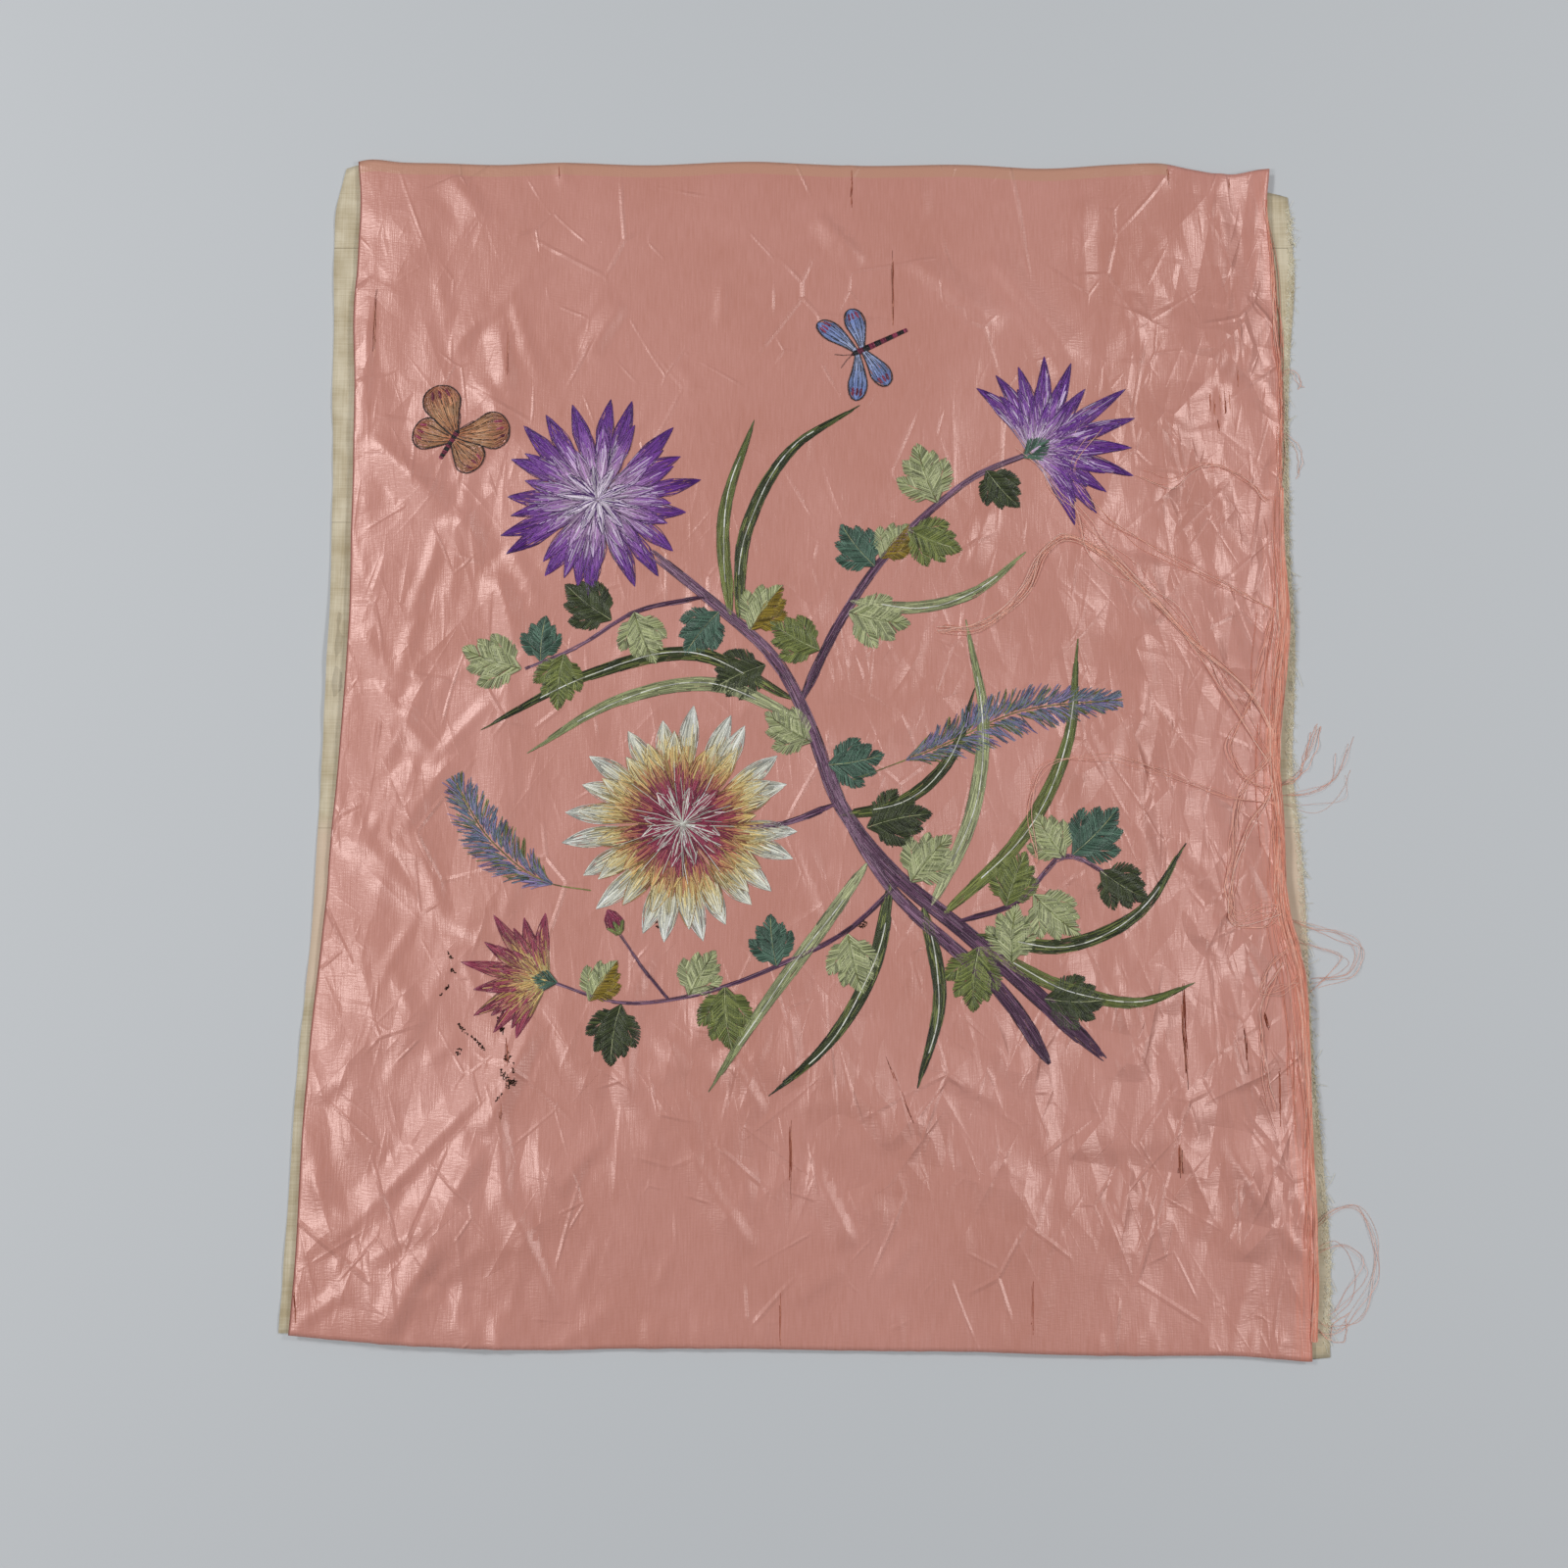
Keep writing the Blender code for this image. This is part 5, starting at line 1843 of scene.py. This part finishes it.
@dataclass
class Embroidery:
    """The whole spray, as a few pieces."""

    ground: Ground
    finish: Material

    def build(self) -> list[Object]:
        """Work every motif.

        Returns:
            The pieces.
        """
        leafage = Foliage()
        motifs = {
            "stems_and_blades": (leafage.work_blades, leafage.work_stems),
            "leaves": (leafage.work_leaves,),
            "violet_blooms": (
                RoundBloom(-112, 120, VIOLET_RINGS, 53, Profile.SPEAR, 8, Floss.LILAC, 20, 12).work,
                # Its deep violet rims are partly painted shade between the petals.
                SideBloom(116, 146, 34, 56, 13, 190, 4.6, Floss.VIOLET, Floss.VIOLET_DEEP, Floss.LILAC).work),
            "cream_bloom": (
                RoundBloom(-66, -50, CREAM_RINGS, 59, Profile.PETAL, 3, Floss.IVORY, 30, 34).work,),
            "small_motifs": (
                SideBloom(-133, -129, 168, 42, 9, 150, 4.0, Floss.CRIMSON_PETAL, Floss.CRIMSON,
                          Floss.GOLD).work,
                Bud(-97, -106, 118).work,
                Sprig(((20, -28), (62, -12), (108, 8), (160, 14))).work,
                Sprig(((-112, -84), (-134, -80), (-162, -60), (-184, -26))).work,
                Insect(22, 200, 205, ((70, 27, 5.0, 3), (106, 24, 5.4, 6)), 32, Floss.SKY,
                       Floss.CRIMSON).work,
                Insect(-186, 158, 60, ((58, 29, 10.0, 3), (112, 21, 9.0, 6)), 18, Floss.TAN,
                       Floss.CRIMSON).work),
        }
        pieces = []
        for number, (name, works) in enumerate(motifs.items()):
            needle = Needlework(np.random.default_rng(SEED + 10 + number))
            for work in works:
                work(needle)
            pieces.append(needle.lay(name, self.ground, self.finish))
        return pieces


# Frayed edge


class LooseRow(NamedTuple):
    """Loose threads that run together: how many, how far they stray, and the points of their way."""

    count: int
    stray: float
    points: tuple


LOOSE_ROWS = tuple(LooseRow(*row) for row in (
    (5, 3, ((240, -30), (249, -26), (256, -14), (261, -2))),
    (4, 3, ((240, -36), (256, -34), (268, -28), (277, -10))),
    (2, 3, ((240, -40), (258, -42), (272, -34), (276, -24))),
    (4, 2.5, ((240, -98), (254, -103), (268, -107), (277, -113), (272, -124), (256, -131))),
    (3, 4, ((242, -108), (256, -112), (270, -118), (262, -128), (248, -136))),
    (4, 3, ((245, -252), (258, -242), (270, -240), (278, -254), (277, -274), (269, -291), (254, -299),
         (244, -296))),
    (3, 4, ((245, -262), (262, -256), (270, -268), (262, -284), (250, -292))),
    (2, 2, ((249, 186), (256, 192), (262, 188), (262, 183))),
    (2, 2, ((248, 158), (256, 153), (260, 144), (256, 134))),
    (2, 3, ((246, -296), (254, -304), (258, -300), (262, -290))),
    (16, 1.7, ((238, -9), (229, 11), (203, 38), (175, 68), (149, 93), (132, 100), (121, 92), (112, 72),
         (84, 52), (66, 50))),
    (5, 6, ((236, -20), (212, 20), (184, 62), (158, 92), (140, 110), (128, 128), (120, 150))),
    (4, 5, ((240, 60), (206, 78), (176, 96), (150, 112), (138, 138), (150, 160))),
    (3, 2, ((238, -40), (212, -36), (194, -30), (145, -17), (118, -22), (112, -44), (114, -70))),
    (3, 3, ((240, 120), (224, 134), (204, 138), (188, 128), (170, 132))),
    (5, 2.5, ((240, -4), (232, -18), (222, -30), (214, -66), (210, -88), (213, -97), (224, -93),
         (240, -96))),
    (5, 2, ((240, -10), (233, -34), (222, -52), (214, -78), (214, -100), (226, -101), (240, -92))),
    (4, 2.5, ((239, 60), (230, 30), (222, 6), (214, -10), (224, -30), (236, -36))),
    (4, 2, ((241, -112), (229, -122), (226, -136), (234, -134), (243, -128))),
    (3, 2, ((236, -120), (226, -140), (224, -168), (226, -190))),
))


@dataclass
class FrayedEdge:
    """The drawn warp threads along the satin's raw right edge, and those that have come loose.

    inward and outward are the bundle's reach to either side, and spread is its share of them at heights up
    the panel. A loose thread that reaches past far is out on the table, where it is finer and straighter.
    """

    outline: Outline
    ground: Ground
    dye: Ramp = Ramp(("#E88E72", "#F6A78C", "#FFC2AC", "#FFDACA"), (0.0, 0.4, 0.8, 1.0))
    bundle_threads: int = 110
    inset: float = 2.6
    inward: float = 6.5
    outward: float = 3.0
    spread: tuple = ((-303, 0.35), (-150, 0.45), (-112, 0.95), (10, 1.0), (60, 0.5), (128, 0.2))
    waves: tuple = ((0.9, 19.0), (0.5, 7.0), (0.22, 2.8))
    bundle_top: float = 98.0
    bottom: float = -303.0
    top: float = 290.0
    step: float = 3.0
    half_width: float = 0.19
    broken_threads: int = 90
    far: float = 262.0

    def bundle(self, rng: Random) -> list[ThreadPaths]:
        """Lay the threads that still run along the edge.

        Args:
            rng: the random numbers.
        Returns:
            Their paths.
        """
        y = np.arange(self.bottom, self.bundle_top + 30, self.step)
        edge = self.outline.side("face_right", y) - self.inset
        share = rng.uniform(-1, 1, self.bundle_threads)[:, None]
        waves = sum(rng.uniform(0.3, 1.0, share.shape) * size
                    * np.sin(y / length + rng.uniform(0, 6.3, share.shape)) for size, length in self.waves)
        aside = np.where(share < 0, self.inward, self.outward) * share * (0.8 + 0.3 * np.sin(y / 31))
        x = edge + (aside + waves) * np.interp(y, *zip(*self.spread)) + 0.8 * np.sin(y / 26)
        base = self.ground.heights(edge - 3, y)
        heap = (1 - share ** 2) * (0.8 + 1.0 * rng.uniform(0, 1, share.shape))
        z = np.maximum(base, 1.5) * 0.8 + 0.3 + heap + 0.35 * np.sin(y / 11 + 5 * share)
        points = np.stack((x, np.broadcast_to(y, x.shape), z), axis=-1)
        return [ThreadPaths(points, np.full(self.bundle_threads, self.half_width),
                            self.dye.pick(rng, self.bundle_threads))]

    def broken(self, rng: Random) -> list[ThreadPaths]:
        """Lay the broken threads that hug the edge above the bundle, and those that stray beside it.

        Args:
            rng: the random numbers.
        Returns:
            Their paths.
        """
        paths = []
        for number in range(self.broken_threads):
            low = number % 2 == 0
            start = rng.uniform(self.bottom, 60) if low else rng.uniform(self.bundle_top - 20, self.top - 60)
            y = np.arange(start, min(self.top, start + rng.uniform(30, 110)), self.step)
            shift = -rng.gamma(2.0, 1.8) if low else rng.normal(0, 0.8)
            x = self.outline.side("face_right", y) - 3.2 + shift + rng.uniform(0.5, 2.2) * np.sin(
                y / rng.uniform(8, 20) + rng.uniform(0, 6))
            z = np.maximum(self.ground.heights(x, y), 0.9) + 0.25
            paths.append(one_thread(x, y, z, self.half_width * 0.8, self.dye.pick(rng, 1)))
        return paths

    def loose(self, rng: Random) -> list[ThreadPaths]:
        """Lay the threads that have come loose, over the table and over the face.

        Args:
            rng: the random numbers.
        Returns:
            Their paths.
        """
        paths = []
        for row in (row for row in LOOSE_ROWS for _ in range(row.count)):
            knots = np.array(row.points, dtype=float)
            wander = rng.normal(0, row.stray, knots.shape) * np.linspace(0.25, 1.0, len(knots))[:, None]
            x, y = smooth_route(knots + wander, 2.2).T
            at = np.linspace(0, 1, len(x))
            kink, fineness = (0.1, 0.62) if knots[:, 0].max() > self.far else (0.3, 1.0)
            x = x + kink * np.sin(at * rng.uniform(20, 50) + rng.uniform(0, 6))
            y = y + kink * np.cos(at * rng.uniform(20, 50) + rng.uniform(0, 6))
            z = self.ground.heights(x, y)
            # The thread bridges what it crosses, lifts here and there, and ends on the ground.
            end = z[-1] + 0.2
            z = np.maximum(np.convolve(np.pad(z, 2, mode="edge"), np.ones(5) / 5, mode="valid"), z)
            z += 0.2 + 1.2 * rng.uniform(0, 1) * np.sin(at * rng.uniform(4, 12)) ** 2
            z[-1] = end
            tint = self.dye.pick(rng, 1, 0.6)
            paths.append(one_thread(x, y, z, self.half_width * rng.uniform(0.7, 1.0) * fineness, tint))
        return paths

    def build(self, finish: Material) -> Object:
        """Make the frayed edge.

        Args:
            finish: the threads' material.
        Returns:
            The piece.
        """
        rng = np.random.default_rng(SEED + 40)
        threads = self.bundle(rng) + self.broken(rng) + self.loose(rng)
        return ThreadSweep(depth=1.6).sweep("drawn_threads", threads, finish)


@dataclass
class LiningFray:
    """Short cotton threads that stand out of the lining's cut right edge."""

    outline: Outline
    dye: Ramp = Ramp(("#DED6B6", "#F0EAD4", "#FFFCF0", "#E8D8BA"), (0.0, 0.5, 0.8, 1.0))
    count: int = 3200
    half_width: float = 0.1
    heights: tuple = (-304, 284)
    root_depth: tuple = (0.2, 3.6)

    def build(self, finish: Material) -> Object:
        """Make the short threads.

        Args:
            finish: their material.
        Returns:
            The piece.
        """
        rng = np.random.default_rng(SEED + 50)
        y = rng.uniform(*self.heights, self.count)
        x = self.outline.side("lining_right", y) - rng.uniform(*self.root_depth, self.count)
        reach = rng.gamma(2.0, 0.75, self.count)
        lean = rng.normal(0, 1.6, self.count) - 0.5
        share = np.array((0.0, 0.5, 1.0))
        px = x[:, None] + reach[:, None] * share ** 0.8
        py = y[:, None] + lean[:, None] * share * reach[:, None] ** 0.6
        pz = rng.uniform((0.55, 0.6, 0.5), (0.65, 0.95, 0.8), (self.count, 3))
        paths = ThreadPaths(np.stack((px, py, pz), axis=-1), np.full(self.count, self.half_width),
                            self.dye.pick(rng, self.count))
        return ThreadSweep(depth=1.6).sweep("lining_fray", [paths], finish)


@dataclass
class WornPlaces:
    """Broken warp in the satin's slits, darkened with painted shade of their openings, and flecks of soot:
    short dark fibres that lie on it.

    A mark longer than long_mark is a faint rusty line, whose fibres run along it.
    """

    ground: Ground
    # Rust for the long mark; in the slits the dark end of this ramp is partly painted shade.
    rust_and_slit_shade: Ramp = Ramp(("#42160C", "#7A3423", "#B46A55", "#F0B6A0"), (0.0, 0.4, 0.7, 1.0))
    soot: Ramp = Ramp(("#0E0805", "#2A1E17", "#5E4A3C"), (0.0, 0.7, 1.0))
    half_width: float = 0.16
    long_mark: float = 8.0
    lift: float = 0.04

    def fibre(self, x: Array, y: Array, half_width: float, tint: Array) -> ThreadPaths:
        """Lay one fibre on the satin."""
        return one_thread(x, y, self.ground.heights(x, y) + self.lift, half_width, tint)

    def slit(self, rng: Random, mark: Mark) -> list[ThreadPaths]:
        """Lay the fibres of one slit, shorter towards its sides.

        Args:
            rng: the random numbers.
            mark: the slit.
        Returns:
            Their paths.
        """
        paths = []
        for _ in range(3 + int(13 * mark.half_width * mark.depth)):
            aside = rng.uniform(-1, 1)
            reach = mark.half_height * (1 - abs(aside)) ** 0.6 * rng.uniform(0.35, 1.0)
            middle = rng.uniform(-1, 1) * (mark.half_height - reach) * 0.5
            up = np.linspace(middle - reach, middle + reach, max(3, int(reach / 1.4)))
            x = mark.x + mark.lean * up + 0.75 * mark.half_width * aside
            x = x + 0.14 * np.sin(up / rng.uniform(1.5, 4.0) + rng.uniform(0, 6))
            # Partly painted shade: a deeper slit has darker fibres, for the shadow in its opening as well as
            # its broken warp.
            tint = self.rust_and_slit_shade.at(rng.uniform(0.8 - 0.8 * mark.depth, 1, 1) ** (0.6 + mark.depth))
            paths.append(self.fibre(x, mark.y + up, self.half_width * rng.uniform(0.6, 1.2), tint))
        return paths

    def fleck(self, rng: Random, mark: Mark) -> list[ThreadPaths]:
        """Lay the short fibres of one soot mark, along and across the weave.

        Args:
            rng: the random numbers.
            mark: the soot mark.
        Returns:
            Their paths.
        """
        paths = []
        for _ in range(5 + int(7 * mark.half_width * mark.half_height * mark.depth)):
            up = rng.uniform(-1, 1) * mark.half_height
            aside = rng.uniform(-1, 1) * mark.half_width * (1 - (up / mark.half_height) ** 2)
            turn = rng.choice((0.0, math.pi / 2)) + rng.normal(0, 0.25)
            run = np.linspace(-0.5, 0.5, 3) * rng.uniform(0.5, 1.6)
            size = rng.uniform(0.16, 0.3)
            dye = self.soot
            if mark.half_height > self.long_mark:
                turn = math.atan2(1.0, mark.lean) + rng.normal(0, 0.05)
                run, size, dye = run * 4, size * 0.5, self.rust_and_slit_shade
            x = mark.x + mark.lean * up + aside + run * math.cos(turn)
            tint = dye.at(rng.uniform(0, 1, 1) ** (0.5 + mark.depth))
            paths.append(self.fibre(x, mark.y + up + run * math.sin(turn), size, tint))
        return paths

    def build(self, finish: Material) -> Object:
        """Make the fibres of every slit and soot mark.

        Args:
            finish: their material.
        Returns:
            The piece.
        """
        rng = np.random.default_rng(SEED + 60)
        paths = [path for mark in SLITS for path in self.slit(rng, mark)]
        paths += [path for mark in SOOT_MARKS for path in self.fleck(rng, mark)]
        return ThreadSweep(depth=0.6).sweep("worn_fibres", paths, finish)


# Studio


@dataclass
class Studio:
    """Floor, light and the camera over the panel, in metres."""

    camera_place: tuple = (-0.0143, -0.0927, 0.6030)
    elevation: float = 84.0
    lens: float = 27.045
    sensor: float = 36.0
    floor_colour: str = "#CCCFD2"
    floor_half_width: float = 4.0
    lamp_size: float = 0.3
    lamps: tuple = (("upper_left", (-1.3, 0.8, 1.3), 10.6), ("upper_right", (1.3, 0.8, 1.3), 8.2),
                    ("lower_left", (-1.3, -0.5, 1.3), 8.8), ("lower_right", (1.3, -0.5, 1.3), 6.8))
    sky: str = "#F2F6FA"
    sky_strength: float = 0.22

    def build(self) -> None:
        """Set up the floor, the lights and the camera."""
        scene = bpy.context.scene
        scene.view_settings.view_transform = "Standard"
        camera = bpy.data.cameras.new("camera")
        camera.lens = self.lens
        camera.sensor_width = self.sensor
        scene.camera = self.place(camera, self.camera_place)
        scene.camera.rotation_euler = (math.radians(90 - self.elevation), 0, 0)
        # Matte paint on board: an even pale grey that only shows the panel's shadow.
        material, _, shader = new_material("painted_board")
        fill_in(shader, Base_Color=linear(self.floor_colour), Roughness=0.8)
        corners = np.array(((-1, -1, 0), (1, -1, 0), (1, 1, 0), (-1, 1, 0))) * self.floor_half_width / MM
        mesh_object("floor", corners, [(0, 1, 2, 3)], material)
        for name, place, power in self.lamps:
            lamp = bpy.data.lights.new(name, "AREA")
            lamp.size = self.lamp_size
            lamp.energy = power
            aim = (-Vector(place)).to_track_quat("-Z", "Y")
            self.place(lamp, place).rotation_euler = aim.to_euler()
        world = bpy.data.worlds.new("studio")
        world.use_nodes = True
        fill_in(world.node_tree.nodes["Background"], Color=linear(self.sky), Strength=self.sky_strength)
        scene.world = world

    def place(self, data: bpy.types.ID, place: tuple) -> Object:
        """Put a camera or a lamp in the scene.

        Args:
            data: the camera or the lamp.
            place: where it goes.
        Returns:
            Its object.
        """
        holder = bpy.data.objects.new(data.name, data)
        holder.location = place
        bpy.context.scene.collection.objects.link(holder)
        return holder


def declare(piece: Object, slot: str, *nodes: str) -> Object:
    """Ride a piece on the panel, hide the solids it stands for, and report it.

    Args:
        piece: the piece.
        slot: not used.
        nodes: the solids that it takes the place of.
    Returns:
        The piece.
    """
    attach(piece, "root")
    if nodes:
        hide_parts(*nodes)
    LOG.info("%s: %d faces", piece.name, len(piece.data.polygons))
    return piece


def main() -> None:
    """Build every piece in order."""
    logging.basicConfig(level=logging.INFO, format="%(message)s")
    Studio().build()
    outline = Outline()
    ground = Ground()
    satin_size = SatinFace(outline, Crumple())
    satin = declare(satin_size.build(SilkSatin().make()), "silk_satin", "satin_face")
    lining_size = Lining(outline)
    lining = declare(lining_size.build(PlainCotton().make()), "cotton_lining", "cotton_lining")
    ground.add(satin)
    ground.add(lining)
    stitched = Embroidery(ground, ThreadFinish("silk_floss", 0.34, 0.6, 0.05).make()).build()
    for piece in stitched:
        declare(piece, "silk_satin")
    scorched = ThreadFinish("scorched_silk", 0.9, 0.05, 0.0).make()
    worn = declare(WornPlaces(ground).build(scorched), "silk_satin")
    drawn = ThreadFinish("drawn_silk", 0.45, 0.5).make()
    declare(FrayedEdge(outline, ground).build(drawn), "loose_thread", "frayed_edge")
    cotton_ends = LiningFray(outline).build(ThreadFinish("cotton_ends", 0.85, 0.2).make())
    declare(cotton_ends, "cotton_lining")


if __name__ == "__main__":
    main()
